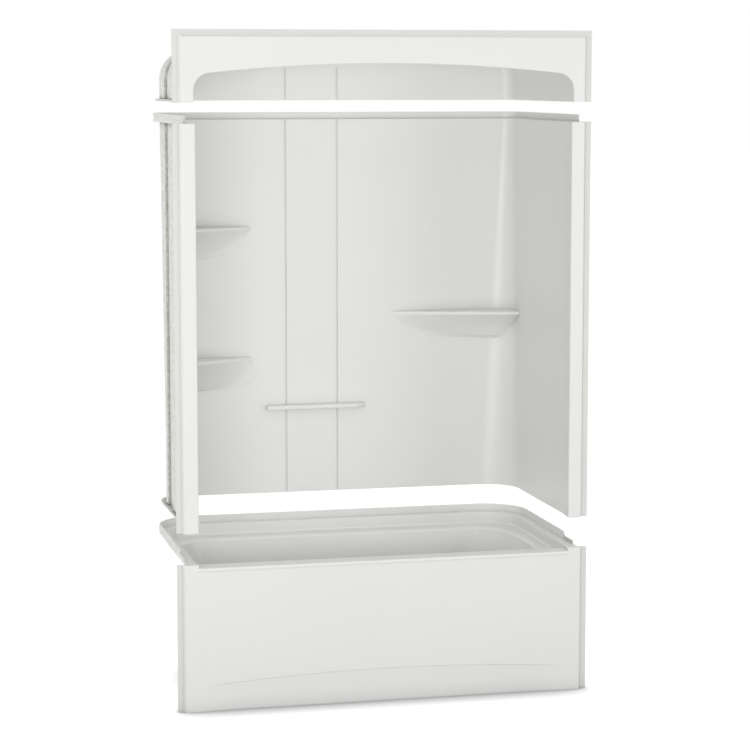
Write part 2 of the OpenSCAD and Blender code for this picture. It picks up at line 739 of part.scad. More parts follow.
// board bonded behind the fascia above the arch
module fascia_board() color("burlywood") on_header()
    translate([fascia_board_inset - face_half, skin + seat_gap, dome_top + skin + seat_gap])
        cube([2 * (face_half - fascia_board_inset), board,
              header_height - border_height - edge_radius - dome_top - 2 * skin - 2 * seat_gap]);

// ribs bonded outside the header walls, bent over the dome
module header_rib(front, wide) intersection() {
    difference() {
        dome_solid(skin + seat_gap + board, flange_back);
        dome_solid(skin + seat_gap, flange_back - 1);
    }
    translate([inside_half - rib_return, front, board_foot - seat_gap])
        cube([2 * rib_return, wide, header_height]);
}
module front_header_rib() header_rib(slot_front - front_board_width, front_board_width);
module rear_header_rib() header_rib(slot_rear, rear_board_width);
module header_left_front_rib() color("burlywood") on_header() mirror([1, 0, 0]) front_header_rib();
module header_left_rear_rib() color("burlywood") on_header() mirror([1, 0, 0]) rear_header_rib();
module header_right_front_rib() color("burlywood") on_header() front_header_rib();
module header_right_rear_rib() color("burlywood") on_header() rear_header_rib();

// board bonded on the roof of the dome
module roof_board() color("burlywood") on_header()
    translate([roof_board_inset - inside_half, roof_board_margin, dome_top + skin + seat_gap])
        cube([2 * (inside_half - roof_board_inset), inside_depth - 2 * roof_board_margin, stout_board]);

// foam strip under the upper lap flange
module header_seal() color("dimgray") on_header() translate([0, 0, lap_rise - seat_gap - seal_thickness])
    linear_extrude(seal_thickness) bay_ring(skin + seal_inset, high_lap - seal_inset, high_corner, flare_depth);

tub_shell();
floor_board();
front_bearer();
middle_bearer();
back_bearer();
apron_board();
rim_rail();
wall_shell();
left_front_board();
left_rear_board();
right_front_board();
right_rear_board();
back_left_board();
back_right_board();
bar_backing_board();
right_shelf();
low_left_shelf();
high_left_shelf();
accessory_bar();
bar_studs();
bar_washers();
bar_nuts();
wall_seal();
header_shell();
fascia_board();
header_left_front_rib();
header_left_rear_rib();
header_right_front_rib();
header_right_rear_rib();
roof_board();
header_seal();
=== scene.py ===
"""Looks of a three-section tub and shower unit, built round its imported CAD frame.

Sizes are millimetres in the space of one section: x from the middle of the width, y from the
front face, z from the section's foot. Every mesh is written in metres in the CAD frame.
"""

import sys

import json
import logging
import math
from dataclasses import dataclass, field
from enum import Enum

import bmesh
import bpy
from mathutils import Euler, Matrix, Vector

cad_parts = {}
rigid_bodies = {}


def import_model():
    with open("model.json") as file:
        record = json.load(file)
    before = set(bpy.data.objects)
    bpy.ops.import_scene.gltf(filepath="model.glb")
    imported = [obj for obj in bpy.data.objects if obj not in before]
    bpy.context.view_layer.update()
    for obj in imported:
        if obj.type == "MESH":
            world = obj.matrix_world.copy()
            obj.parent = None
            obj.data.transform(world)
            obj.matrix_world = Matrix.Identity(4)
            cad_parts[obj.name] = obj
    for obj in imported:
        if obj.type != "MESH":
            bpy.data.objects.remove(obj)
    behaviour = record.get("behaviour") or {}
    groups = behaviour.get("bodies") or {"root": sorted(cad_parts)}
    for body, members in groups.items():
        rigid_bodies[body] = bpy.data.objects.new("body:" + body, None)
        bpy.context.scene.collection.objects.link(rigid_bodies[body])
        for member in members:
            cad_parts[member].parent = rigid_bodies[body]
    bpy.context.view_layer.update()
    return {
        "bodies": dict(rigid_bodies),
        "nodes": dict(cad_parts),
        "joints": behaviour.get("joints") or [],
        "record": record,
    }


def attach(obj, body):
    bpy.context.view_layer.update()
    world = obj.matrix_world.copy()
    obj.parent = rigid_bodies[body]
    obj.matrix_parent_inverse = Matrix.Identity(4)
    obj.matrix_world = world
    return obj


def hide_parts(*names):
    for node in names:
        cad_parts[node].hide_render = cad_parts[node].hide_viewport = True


Flat = tuple[float, float]
Point = tuple[float, float, float]
Row = list[Point]
Plan = list[Flat]
Edges = frozenset[int]
Colour = tuple[float, float, float]
Socket = bpy.types.NodeSocket
Inputs = dict[str | int, Socket | float | Point]
Material = bpy.types.Material
Piece = bpy.types.Object

LOG = logging.getLogger("tub_and_shower")
MM = 0.001
MIDDLE_DEPTH = 410.0
SMOOTH_BELOW = math.radians(38)
BEVEL_ABOVE = math.radians(40)
# Rays and openness range of the painted shade in grooves and inner corners.
PAINTED_SHADE_RAYS = 6
PAINTED_SHADE_RANGE: Flat = (0.5, 0.95)
FLOOR_RAYS = 8
WHITE = (1.0, 1.0, 1.0, 1.0)


class Side(Enum):
    """The faces of a moulded shell, in the order of its material slots."""

    SHOW = 0
    BACK = 1
    TRIM = 2


class Slot(Enum):
    """The record's material slots."""

    ACRYLIC = "acrylic"
    FIBREGLASS = "fibreglass"
    BOARD = "backing_board"
    TIMBER = "timber"
    STEEL = "fastener_steel"
    FOAM = "seal_foam"


# ---- finishes


class Wiring:
    """Adds and joins the nodes of one tree."""

    def __init__(self, tree: bpy.types.NodeTree) -> None:
        """Takes the tree that is wired."""
        self.nodes, self.links = tree.nodes, tree.links

    def fill(self, node: bpy.types.Node, inputs: Inputs) -> None:
        """Joins or sets the inputs of a node.

        Args:
            node: the node.
            inputs: a socket to join or a value to set, by the input's name or number.
        """
        for name, value in inputs.items():
            if isinstance(value, Socket):
                self.links.new(value, node.inputs[name])
            else:
                node.inputs[name].default_value = value

    def node(self, kind: str, inputs: Inputs) -> bpy.types.Node:
        """Adds a shader node.

        Args:
            kind: its type, without the words that all of them start with.
            inputs: what its inputs are joined or set to.

        Returns:
            The node.
        """
        node = self.nodes.new("ShaderNode" + kind)
        self.fill(node, inputs)
        return node

    def combined(self, kind: str, first: Socket, second: Socket) -> Socket:
        """Two values put together.

        Args:
            kind: the sum to do.
            first: the first value.
            second: the second value.

        Returns:
            The result.
        """
        node = self.node("Math", {0: first, 1: second})
        node.operation = kind
        return node.outputs["Value"]

    def white_rays(self) -> Socket:
        """1 for camera, glossy and transmission rays, which see a white room, and 0 for others.

        Returns:
            The value.
        """
        rays = self.node("LightPath", {}).outputs
        seen = self.combined("ADD", rays["Is Camera Ray"], rays["Is Glossy Ray"])
        return self.combined("ADD", seen, rays["Is Transmission Ray"])


class Recipe(Wiring):
    """Wires one material round a Principled shader."""

    def __init__(self, name: str) -> None:
        """Starts a material of that name.

        Args:
            name: its name.
        """
        self.material = bpy.data.materials.new(name)
        self.material.use_nodes = True
        super().__init__(self.material.node_tree)
        self.shader = self.nodes["Principled BSDF"]
        self.place = self.node("TexCoord", {}).outputs["Object"]

    def stretched(self, scale: Point) -> Socket:
        """Object coordinates stretched along the axes."""
        return self.node("Mapping", {"Vector": self.place, "Scale": scale}).outputs["Vector"]

    def noise(self, scale: float, detail: float = 3.0, rough: float = 0.5,
              place: Socket | None = None) -> Socket:
        """Cloudy noise.

        Args:
            scale: waves to the metre.
            detail: octaves.
            rough: weight of the fine octaves.
            place: coordinates, or None for the object's own.

        Returns:
            The noise, about 0.5 in the mean.
        """
        return self.node("TexNoise", {"Vector": place or self.place, "Scale": scale, "Detail": detail,
                                      "Roughness": rough}).outputs["Fac"]

    def cells(self, scale: float, place: Socket | None = None) -> Socket:
        """Distance to the nearest of scattered points, so many to the metre."""
        return self.node("TexVoronoi", {"Vector": place or self.place, "Scale": scale}).outputs["Distance"]

    def spread(self, value: Socket, low: float, high: float, start: float = 0.0,
               end: float = 1.0) -> Socket:
        """A value moved from one range to another.

        Args:
            value: the value.
            low: result at start.
            high: result at end.
            start: where the range begins.
            end: where the range ends.

        Returns:
            The moved value.
        """
        return self.node("MapRange", {"Value": value, "From Min": start, "From Max": end,
                                      "To Min": low, "To Max": high}).outputs["Result"]

    def colours(self, value: Socket, ends: Flat, first: Colour, second: Colour) -> Socket:
        """Colours picked by a value.

        Args:
            value: from 0 to 1.
            ends: values of the first and the second colour.
            first: the first colour.
            second: the second colour.

        Returns:
            The colour.
        """
        node = self.node("ValToRGB", {"Fac": value})
        for stop, end, colour in zip(node.color_ramp.elements, ends, (first, second)):
            stop.position = end
            stop.color = (*colour, 1.0)
        return node.outputs["Color"]

    def blended(self, share: Socket, first: Socket, second: Socket) -> Socket:
        """Two colours mixed by a share.

        Args:
            share: 0 for the first colour, 1 for the second.
            first: the first colour.
            second: the second colour.

        Returns:
            The mixed colour.
        """
        node = self.nodes.new("ShaderNodeMix")
        node.data_type = "RGBA"
        self.fill(node, {"Factor": share, "A": first, "B": second})
        return node.outputs["Result"]

    def relief(self, height: Socket, depth: float, under: Socket | None = None) -> Socket:
        """Bump of a real depth.

        Args:
            height: the height, 0 to 1.
            depth: metres between height 0 and height 1.
            under: the normal of a coarser relief, or None.

        Returns:
            The normal.
        """
        coarse = {} if under is None else {"Normal": under}
        return self.node("Bump", {"Height": height, "Distance": depth, **coarse}).outputs["Normal"]

    def facing_up(self, low: float, high: float) -> Socket:
        """How much a surface faces upwards.

        Args:
            low: upward part of the normal where the share leaves 0.
            high: upward part of the normal where it reaches 1.

        Returns:
            The share.
        """
        normal = self.node("NewGeometry", {}).outputs["Normal"]
        return self.spread(self.node("SeparateXYZ", {"Vector": normal}).outputs["Z"], 0.0, 1.0, low, high)

    def openness(self, reach: float, rays: int) -> Socket:
        """How open the surroundings of a place are.

        Args:
            reach: metres within which other surfaces count.
            rays: rays that look round.

        Returns:
            The open share.
        """
        node = self.node("AmbientOcclusion", {"Distance": reach})
        node.samples = rays
        return node.outputs["AO"]

    def with_painted_shade(self, colour: Socket, reach: float, least: float) -> Socket:
        """A colour with painted shade: darker in grooves and inner corners, where the surroundings close in.

        Args:
            colour: the colour of the open surface.
            reach: metres within which other surfaces count.
            least: brightness left where half of the surroundings is closed.

        Returns:
            The colour.
        """
        dark = self.node("HueSaturation", {"Color": colour, "Value": least}).outputs["Color"]
        share = self.spread(self.openness(reach, PAINTED_SHADE_RAYS), 0.0, 1.0, *PAINTED_SHADE_RANGE)
        return self.blended(share, dark, colour)

    def finish(self, colour: Socket, rough: Socket, normal: Socket) -> Material:
        """Joins colour, roughness and normal to the shader.

        Args:
            colour: base colour.
            rough: roughness.
            normal: the bumped normal.

        Returns:
            The material.
        """
        self.fill(self.shader, {"Base Color": colour, "Roughness": rough, "Normal": normal})
        return self.material


@dataclass(frozen=True)
class GlossAcrylic:
    """The glossy face of the mouldings, faintly waved as vacuum-formed sheet is, with painted shade in
    grooves and inner corners and painted light on faces that look up.
    """

    name: str = "gloss_acrylic"
    light: Colour = (0.865, 0.865, 0.848)
    shade: Colour = (0.85, 0.85, 0.832)
    # Lighter colours for faces that look up: painted light.
    painted_top_light: tuple[Colour, Colour] = ((0.95, 0.95, 0.93), (0.97, 0.97, 0.955))
    rough: float = 0.4
    coat: float = 0.06
    coat_rough: float = 0.3
    ior: float = 1.49
    clouds: Point = (1.6, 4.0, 0.55)
    painted_top_clouds: Point = (1.1, 3.0, 0.5)
    cloud_ends: Flat = (0.3, 0.7)
    painted_top_ends: Flat = (0.3, 0.7)
    # Reach and brightness left of the painted shade in grooves and inner corners.
    painted_shade: tuple[Flat, ...] = ((0.008, 0.84), (0.06, 0.88))
    smears: Point = (5.0, 5.0, 0.6)
    smear_ends: Flat = (-0.04, 0.05)
    waves: Flat = (2.2, 1.0)
    wave_depth: float = 0.0007
    peel: Flat = (160.0, 2.0)
    peel_depth: float = 0.00003

    def material(self) -> Material:
        """Builds the material and returns it.

        Returns:
            The material.
        """
        recipe = Recipe(self.name)
        recipe.fill(recipe.shader, {"IOR": self.ior, "Coat Weight": self.coat,
                                    "Coat Roughness": self.coat_rough})
        colour = recipe.colours(recipe.noise(*self.clouds), self.cloud_ends, self.shade, self.light)
        # Painted shade: darker in grooves and inner corners.
        for reach, least in self.painted_shade:
            colour = recipe.with_painted_shade(colour, reach, least)
        # Painted light: faces that look up are lighter, with a random cloud in the tone.
        painted_top_light = recipe.colours(recipe.noise(*self.painted_top_clouds), self.cloud_ends, *self.painted_top_light)
        colour = recipe.blended(recipe.facing_up(*self.painted_top_ends), colour, painted_top_light)
        smooth, dull = self.smear_ends
        rough = recipe.spread(recipe.noise(*self.smears), self.rough + smooth, self.rough + dull)
        waves = recipe.relief(recipe.noise(*self.waves), self.wave_depth)
        return recipe.finish(colour, rough, recipe.relief(recipe.noise(*self.peel), self.peel_depth, waves))


@dataclass(frozen=True)
class SprayedLaminate:
    """Chopped glass strands and resin on the hidden side of the shells, with painted shade in grooves and
    corners.
    """

    resin: Colour = (0.74, 0.74, 0.67)
    strand: Colour = (0.98, 0.98, 0.96)
    pit: Colour = (0.5, 0.5, 0.42)
    drawn: Point = (1.0, 1.3, 0.8)
    strands: Point = (105.0, 3.0, 0.7)
    strand_ends: Flat = (0.43, 0.56)
    clumps: Point = (38.0, 4.0, 0.65)
    clump_ends: Flat = (0.3, 0.6)
    pits: float = 105.0
    pit_share: float = 0.75
    pit_size: float = 0.42
    # Reach and brightness left of the painted shade in grooves and corners.
    painted_shade: Flat = (0.03, 0.5)
    rough: Flat = (0.5, 0.8)
    depth: float = 0.0022

    def material(self) -> Material:
        """Builds the material and returns it.

        Returns:
            The material.
        """
        recipe = Recipe("sprayed_laminate")
        place = recipe.stretched(self.drawn)
        strands = recipe.noise(*self.strands, place)
        pits = recipe.cells(self.pits, place)
        body = recipe.colours(strands, self.strand_ends, self.resin, self.strand)
        holes = recipe.colours(recipe.noise(*self.clumps), self.clump_ends, self.pit, self.resin)
        share = recipe.spread(pits, self.pit_share, 0.0, 0.0, self.pit_size)
        # Painted shade: darker where the surroundings close in.
        colour = recipe.with_painted_shade(recipe.blended(share, body, holes), *self.painted_shade)
        normal = recipe.relief(strands, self.depth / 2, recipe.relief(pits, self.depth))
        return recipe.finish(colour, recipe.spread(strands, *self.rough), normal)


@dataclass(frozen=True)
class RawWood:
    """Raw board or sawn timber, with its grain along one axis."""

    name: str
    light: Colour
    dark: Colour
    along: Point
    broad: Point = (3.0, 3.0, 0.5)
    broad_ends: Flat = (0.3, 0.62)
    grain: Point = (9.0, 8.0, 0.65)
    grain_ends: Flat = (0.36, 0.6)
    grain_depth: float = 0.0009
    fibres: Point = (70.0, 3.0, 0.6)
    fibre_share: Flat = (0.2, 0.6)
    fibre_depth: float = 0.0006
    rough: Flat = (0.62, 0.85)

    def material(self) -> Material:
        """Builds the material and returns it.

        Returns:
            The material.
        """
        recipe = Recipe(self.name)
        drawn = recipe.stretched(self.along)
        grain, fibres = recipe.noise(*self.grain, drawn), recipe.noise(*self.fibres, drawn)
        first = recipe.colours(grain, self.grain_ends, self.dark, self.light)
        second = recipe.colours(recipe.noise(*self.broad, drawn), self.broad_ends, self.dark, self.light)
        colour = recipe.blended(recipe.spread(fibres, *self.fibre_share), first, second)
        normal = recipe.relief(fibres, self.fibre_depth, recipe.relief(grain, self.grain_depth))
        return recipe.finish(colour, recipe.spread(grain, *self.rough), normal)


@dataclass(frozen=True)
class ZincSteel:
    """Zinc-plated steel of the studs, washers and nuts."""

    light: Colour = (0.66, 0.66, 0.64)
    dark: Colour = (0.47, 0.47, 0.46)
    spangle: float = 900.0
    spangle_ends: Flat = (0.1, 0.7)
    smears: Flat = (600.0, 3.0)
    rough: Flat = (0.26, 0.46)
    pores: Flat = (1500.0, 2.0)
    pore_depth: float = 0.00004

    def material(self) -> Material:
        """Builds the material and returns it.

        Returns:
            The material.
        """
        recipe = Recipe("zinc_steel")
        recipe.fill(recipe.shader, {"Metallic": 1.0})
        colour = recipe.colours(recipe.cells(self.spangle), self.spangle_ends, self.dark, self.light)
        rough = recipe.spread(recipe.noise(*self.smears), *self.rough)
        return recipe.finish(colour, rough, recipe.relief(recipe.noise(*self.pores), self.pore_depth))


@dataclass(frozen=True)
class CellFoam:
    """Closed-cell foam of the joint seals."""

    light: Colour = (0.8, 0.8, 0.78)
    dark: Colour = (0.6, 0.6, 0.58)
    cells: float = 700.0
    cell_ends: Flat = (0.1, 0.6)
    cell_depth: float = 0.0005
    smears: float = 300.0
    rough: Flat = (0.8, 0.95)

    def material(self) -> Material:
        """Builds the material and returns it.

        Returns:
            The material.
        """
        recipe = Recipe("cell_foam")
        cells = recipe.cells(self.cells)
        colour = recipe.colours(cells, self.cell_ends, self.dark, self.light)
        rough = recipe.spread(recipe.noise(self.smears), *self.rough)
        return recipe.finish(colour, rough, recipe.relief(cells, self.cell_depth))


@dataclass
class Finishes:
    """Every finish of the unit, built once."""

    acrylic: Material = field(default_factory=lambda: GlossAcrylic().material())
    # The trim on the flanges and the sunk border is a darker copy of the acrylic: painted shade, also lighter
    # on faces that look up as painted light; its rougher, uncoated face is its matt finish.
    trim: Material = field(default_factory=lambda: GlossAcrylic(
        "matt_trim_painted_shade", light=(0.77, 0.77, 0.745), shade=(0.74, 0.74, 0.71),
        painted_top_light=((0.8, 0.8, 0.775), (0.83, 0.83, 0.8)), rough=0.45, coat=0.0).material())
    laminate: Material = field(default_factory=lambda: SprayedLaminate().material())
    board: Material = field(default_factory=lambda: RawWood(
        "raw_board", light=(0.56, 0.42, 0.25), dark=(0.36, 0.24, 0.13), along=(1.0, 4.0, 1.0),
        broad=(5.0, 3.0, 0.5)).material())
    timber: Material = field(default_factory=lambda: RawWood(
        "sawn_timber", light=(0.62, 0.45, 0.25), dark=(0.42, 0.27, 0.13), along=(0.25, 4.0, 4.0)).material())
    steel: Material = field(default_factory=lambda: ZincSteel().material())
    foam: Material = field(default_factory=lambda: CellFoam().material())

    def of(self, slot: Slot) -> Material:
        """Returns the material of a slot."""
        return {Slot.ACRYLIC: self.acrylic, Slot.FIBREGLASS: self.laminate, Slot.BOARD: self.board,
                Slot.TIMBER: self.timber, Slot.STEEL: self.steel, Slot.FOAM: self.foam}[slot]


# ---- outlines


def spaced(start: float, end: float, steps: int) -> list[float]:
    """Values at even steps from start to end, both included."""
    return [start + (end - start) * i / steps for i in range(steps + 1)]


def turned(start: float, end: float, steps: int) -> Plan:
    """Sine and cosine of angles at even steps from start to end, in degrees."""
    return [(math.sin(math.radians(a)), math.cos(math.radians(a))) for a in spaced(start, end, steps)]


def eased(share: float) -> float:
    """A share from 0 to 1 that starts and stops gently."""
    return share * share * (3 - 2 * share)


def soft_rise(value: float, soft: float) -> float:
    """A value that levels out to zero below zero; soft says how gently."""
    return (value + math.sqrt(value * value + 4 * soft * soft)) / 2


def level(plan: Plan, z: float) -> Row:
    """A plan laid at a height."""
    return [(x, y, z) for x, y in plan]


def upright(view: Plan, y: float) -> Row:
    """A front view stood at a depth."""
    return [(x, y, z) for x, z in view]


def oval(centre: Flat, radii: Flat, start: float, end: float, steps: int) -> Plan:
    """Points on an arc of an ellipse.

    Args:
        centre: its centre.
        radii: its two radii.
        start: first angle in degrees.
        end: last angle in degrees.
        steps: straight pieces.

    Returns:
        The points.
    """
    return [(centre[0] + radii[0] * c, centre[1] + radii[1] * s) for s, c in turned(start, end, steps)]


def softened(corners: list[Point], steps: int = 4) -> Plan:
    """Rounds the corners of a closed outline.

    Args:
        corners: x, y and radius of each corner; radius 0 stays sharp.
        steps: straight pieces in a rounded corner.

    Returns:
        The points of the outline.
    """
    points: Plan = []
    for i, (x, y, radius) in enumerate(corners):
        if radius <= 0:
            points.append((x, y))
            continue
        corner = Vector((x, y))
        before = (Vector(corners[i - 1][:2]) - corner).normalized()
        after = (Vector(corners[(i + 1) % len(corners)][:2]) - corner).normalized()
        half = before.angle(after) / 2
        middle = (before + after).normalized() * (radius / math.sin(half))
        start = before * (radius / math.tan(half)) - middle
        end = after * (radius / math.tan(half)) - middle
        turn = start.angle(end)
        for t in spaced(0.0, 1.0, steps):
            arm = (start * math.sin((1 - t) * turn) + end * math.sin(t * turn)) / math.sin(turn)
            points.append(tuple(corner + middle + arm))
    return points


def drawn_in(outline: Plan, amount: float, firm: Edges) -> Plan:
    """A closed outline with its edges moved inwards.

    Args:
        outline: its points.
        amount: how far each edge moves.
        firm: edges that stay, by the number of the point that they start from.

    Returns:
        The moved points.
    """
    count = len(outline)
    area = sum(outline[i - 1][0] * outline[i][1] - outline[i][0] * outline[i - 1][1] for i in range(count))
    turn = 1.0 if area > 0 else -1.0
    normals = []
    for (x0, y0), (x1, y1) in zip(outline, outline[1:] + outline[:1]):
        length = math.hypot(x1 - x0, y1 - y0)
        normals.append((-(y1 - y0) / length * turn, (x1 - x0) / length * turn))
    moved = []
    for i, (x, y) in enumerate(outline):
        (ax, ay), (bx, by) = normals[i - 1], normals[i]
        first = 0.0 if (i - 1) % count in firm else amount
        second = 0.0 if i in firm else amount
        cross = ax * by - ay * bx
        if abs(cross) < 1e-4:
            moved.append((x + ax * (first + second) / 2, y + ay * (first + second) / 2))
        else:
            moved.append((x + (first * by - second * ay) / cross, y + (second * ax - first * bx) / cross))
    return moved


def cast(origin: Flat, target: Flat, outline: Plan) -> Flat:
    """Where a ray from origin through target leaves a closed outline.

    Args:
        origin: start of the ray, inside the outline.
        target: a point on the ray.
        outline: the outline's points.

    Returns:
        The farthest crossing.
    """
    dx, dy = target[0] - origin[0], target[1] - origin[1]
    best = 0.0
    for (ax, ay), (bx, by) in zip(outline[-1:] + outline[:-1], outline):
        ex, ey = bx - ax, by - ay
        cross = dx * ey - dy * ex
        if abs(cross) < 1e-9:
            continue
        along = ((ax - origin[0]) * ey - (ay - origin[1]) * ex) / cross
        across = ((ax - origin[0]) * dy - (ay - origin[1]) * dx) / cross
        if along > best and -1e-6 <= across <= 1 + 1e-6:
            best = along
    return origin[0] + dx * best, origin[1] + dy * best


@dataclass(frozen=True)
class Arch:
    """A shallow arch: a wide crown, round corners and, where there is room, straight legs."""

    half: float
    crown: float
    radius: float
    corner: float
    leg_steps: int
    corner_steps: int = 12
    crown_steps: int = 44

    def line(self, out: float) -> Plan:
        """The arch in x and z, moved outwards.

        Args:
            out: how far it is moved.

        Returns:
            Points from the right foot over the crown to the left foot.
        """
        centre = self.crown - self.radius
        x = self.half - self.corner
        z = centre + math.sqrt((self.radius - self.corner) ** 2 - x * x)
        contact_shadow = math.degrees(math.atan2(z - centre, x))
        start = math.degrees(math.asin(min(1.0, max(0.0, -z / (self.corner + out)))))
        right = [(self.half + out, h) for h in spaced(0.0, max(z, 0.0), self.leg_steps or 1)[:self.leg_steps]]
        right += oval((x, z), (self.corner + out,) * 2, start, contact_shadow, self.corner_steps)
        crown = oval((0.0, centre), (self.radius + out,) * 2, contact_shadow, 180.0 - contact_shadow, self.crown_steps)
        return right + crown[1:-1] + [(-px, pz) for px, pz in reversed(right)]

    def spreads(self, most: float) -> list[float]:
        """How much wider the arch's edge is at each point of line().

        Args:
            most: factor at the feet; it is 1 along the crown.

        Returns:
            The factors.
        """
        right = [most] * self.leg_steps
        right += [1.0 + (most - 1.0) * eased(t) for t in spaced(1.0, 0.0, self.corner_steps)]
        return right + [1.0] * (self.crown_steps - 1) + right[::-1]

    def frame(self, half: float, top: float) -> Plan:
        """A square-topped outline round the arch, with a point for each point of the arch.

        Args:
            half: half its width.
            top: its height.

        Returns:
            Points in the order of line().
        """
        side = self.leg_steps + self.corner_steps // 2
        edge = self.line(0.0)[self.leg_steps + self.corner_steps][0]
        right = [(half, h) for h in spaced(0.0, top, side)]
        right += [(x, top) for x in spaced(half, edge, self.corner_steps - self.corner_steps // 2)[1:]]
        crown = [(x, top) for x in spaced(edge, -edge, self.crown_steps)[1:-1]]
        return right + crown + [(-x, z) for x, z in reversed(right)]


# ---- meshes


def placed(name: str, data: bpy.types.ID) -> Piece:
    """Puts a new object into the scene.

    Args:
        name: its name.
        data: its mesh, light or camera.

    Returns:
        The object.
    """
    piece = bpy.data.objects.new(name, data)
    bpy.context.scene.collection.objects.link(piece)
    return piece


def written(shop: bmesh.types.BMesh, name: str) -> bpy.types.Mesh:
    """Turns working geometry into a mesh.

    Args:
        shop: the geometry, which is used up.
        name: the mesh's name.

    Returns:
        The mesh.
    """
    mesh = bpy.data.meshes.new(name)
    shop.to_mesh(mesh)
    shop.free()
    return mesh


class Mould:
    """Collects closed solids of one piece and writes them as one mesh."""

    def __init__(self, foot: float) -> None:
        """Starts an empty piece whose section stands at that height.

        Args:
            foot: height of the section's foot.
        """
        self.foot = foot
        self.points: Row = []
        self.faces: list[list[int]] = []
        self.sides: list[int] = []

    def world(self, x: float, y: float, z: float) -> Point:
        """A place of the section in metres in the CAD frame."""
        return x * MM, (y - MIDDLE_DEPTH) * MM, (z + self.foot) * MM

    def face(self, indices: list[int], side: Side) -> None:
        """Adds a face of that side."""
        self.faces.append(indices)
        self.sides.append(side.value)

    def strip(self, rows: list[Row], sides: list[Side], loop: bool) -> list[list[int]]:
        """Adds a surface through rows of points.

        Args:
            rows: rows with equal numbers of points.
            sides: the side of each strip between two rows.
            loop: whether each row closes on itself.

        Returns:
            The numbers of the points of each row.
        """
        numbers = []
        for row in rows:
            numbers.append(list(range(len(self.points), len(self.points) + len(row))))
            self.points += row
        for low, high, side in zip(numbers, numbers[1:], sides):
            for i in range(len(low) if loop else len(low) - 1):
                j = (i + 1) % len(low)
                self.face([low[i], low[j], high[j], high[i]], side)
        return numbers

    def stack(self, rows: list[Row], sides: list[Side], foot: Side, top: Side) -> None:
        """Adds a solid of closed rings, shut at its first and last ring.

        Args:
            rows: the rings.
            sides: the side of each strip between two rings.
            foot: the side of the face in the first ring.
            top: the side of the face in the last ring.
        """
        numbers = self.strip(rows, sides, True)
        self.face(numbers[0][::-1], foot)
        self.face(numbers[-1], top)

    def sweep(self, rows: list[Row], sides: list[Side], end: Side = Side.SHOW) -> None:
        """Adds a closed section carried along a path, with both ends shut.

        Args:
            rows: the path of each corner of the section, in order round it.
            sides: the side of the strip after each row, the last one back to the first row.
            end: the side of the two ends.
        """
        numbers = self.strip(rows, sides[:-1], False)
        first, last = numbers[0], numbers[-1]
        for i in range(len(first) - 1):
            self.face([last[i], last[i + 1], first[i + 1], first[i]], sides[-1])
        self.face([row[0] for row in numbers], end)
        self.face([row[-1] for row in reversed(numbers)], end)

    def prism(self, outline: Plan, low: float, high: float, soft_low: float = 0.0, soft_high: float = 0.0,
              firm: Edges = frozenset(), side: Side = Side.SHOW, back: Edges = frozenset(),
              trim: Edges = frozenset()) -> None:
        """Adds an upright solid on a plan, with rounded edges at its ends.

        Args:
            outline: the plan.
            low: height of its foot.
            high: height of its top.
            soft_low: rounding at the foot.
            soft_high: rounding at the top.
            firm: edges that keep their line at the rounded ends.
            side: side of its faces.
            back: edges whose faces are on the hidden side.
            trim: edges whose faces are flange.
        """
        levels: Plan = []
        for z, soft, up in ((low, soft_low, 1.0), (high, soft_high, -1.0)):
            part = [(soft * (1 - s), z + up * soft * (1 - c)) for s, c in turned(0.0, 90.0, 4)]
            part = part if soft > 0 else part[-1:]
            levels += part if up > 0 else part[::-1]
        rows = [level(drawn_in(outline, inwards, firm) if inwards > 1e-6 else outline, z)
                for inwards, z in levels]
        start = len(self.faces)
        self.stack(rows, [side] * (len(rows) - 1), side, side)
        for k in range(start, len(self.faces) - 2):
            edge = (k - start) % len(outline)
            self.sides[k] = (Side.BACK if edge in back else Side.TRIM if edge in trim else side).value

    def block(self, low: Point, high: Point, side: Side) -> None:
        """Adds a box between two corners with faces of that side."""
        outline = [(low[0], low[1]), (high[0], low[1]), (high[0], high[1]), (low[0], high[1])]
        self.prism(outline, low[2], high[2], side=side)

    def so_far(self) -> tuple[int, int]:
        """The numbers of points and faces so far."""
        return len(self.points), len(self.faces)

    def mirror(self, since: tuple[int, int]) -> None:
        """Adds the mirror image in x of everything since then.

        Args:
            since: what so_far() gave before them.
        """
        points, faces = since
        shift = len(self.points) - points
        self.points += [(-x, y, z) for x, y, z in self.points[points:]]
        self.faces += [[i + shift for i in reversed(face)] for face in self.faces[faces:]]
        self.sides += self.sides[faces:]

    def cast_piece(self, name: str, materials: list[Material]) -> Piece:
        """Writes the mesh.

        Args:
            name: the piece's name.
            materials: material of each side.

        Returns:
            The new object.
        """
        shop = bmesh.new()
        corners = [shop.verts.new(self.world(*point)) for point in self.points]
        for indices, side in zip(self.faces, self.sides):
            shop.faces.new([corners[i] for i in indices]).material_index = side
        bmesh.ops.dissolve_degenerate(shop, dist=1e-6, edges=shop.edges)
        bmesh.ops.recalc_face_normals(shop, faces=shop.faces)
        for face in shop.faces:
            face.smooth = True
        mesh = written(shop, name)
        mesh.set_sharp_from_angle(angle=SMOOTH_BELOW)
        for material in materials:
            mesh.materials.append(material)
        return placed(name, mesh)


# ---- what the sections share


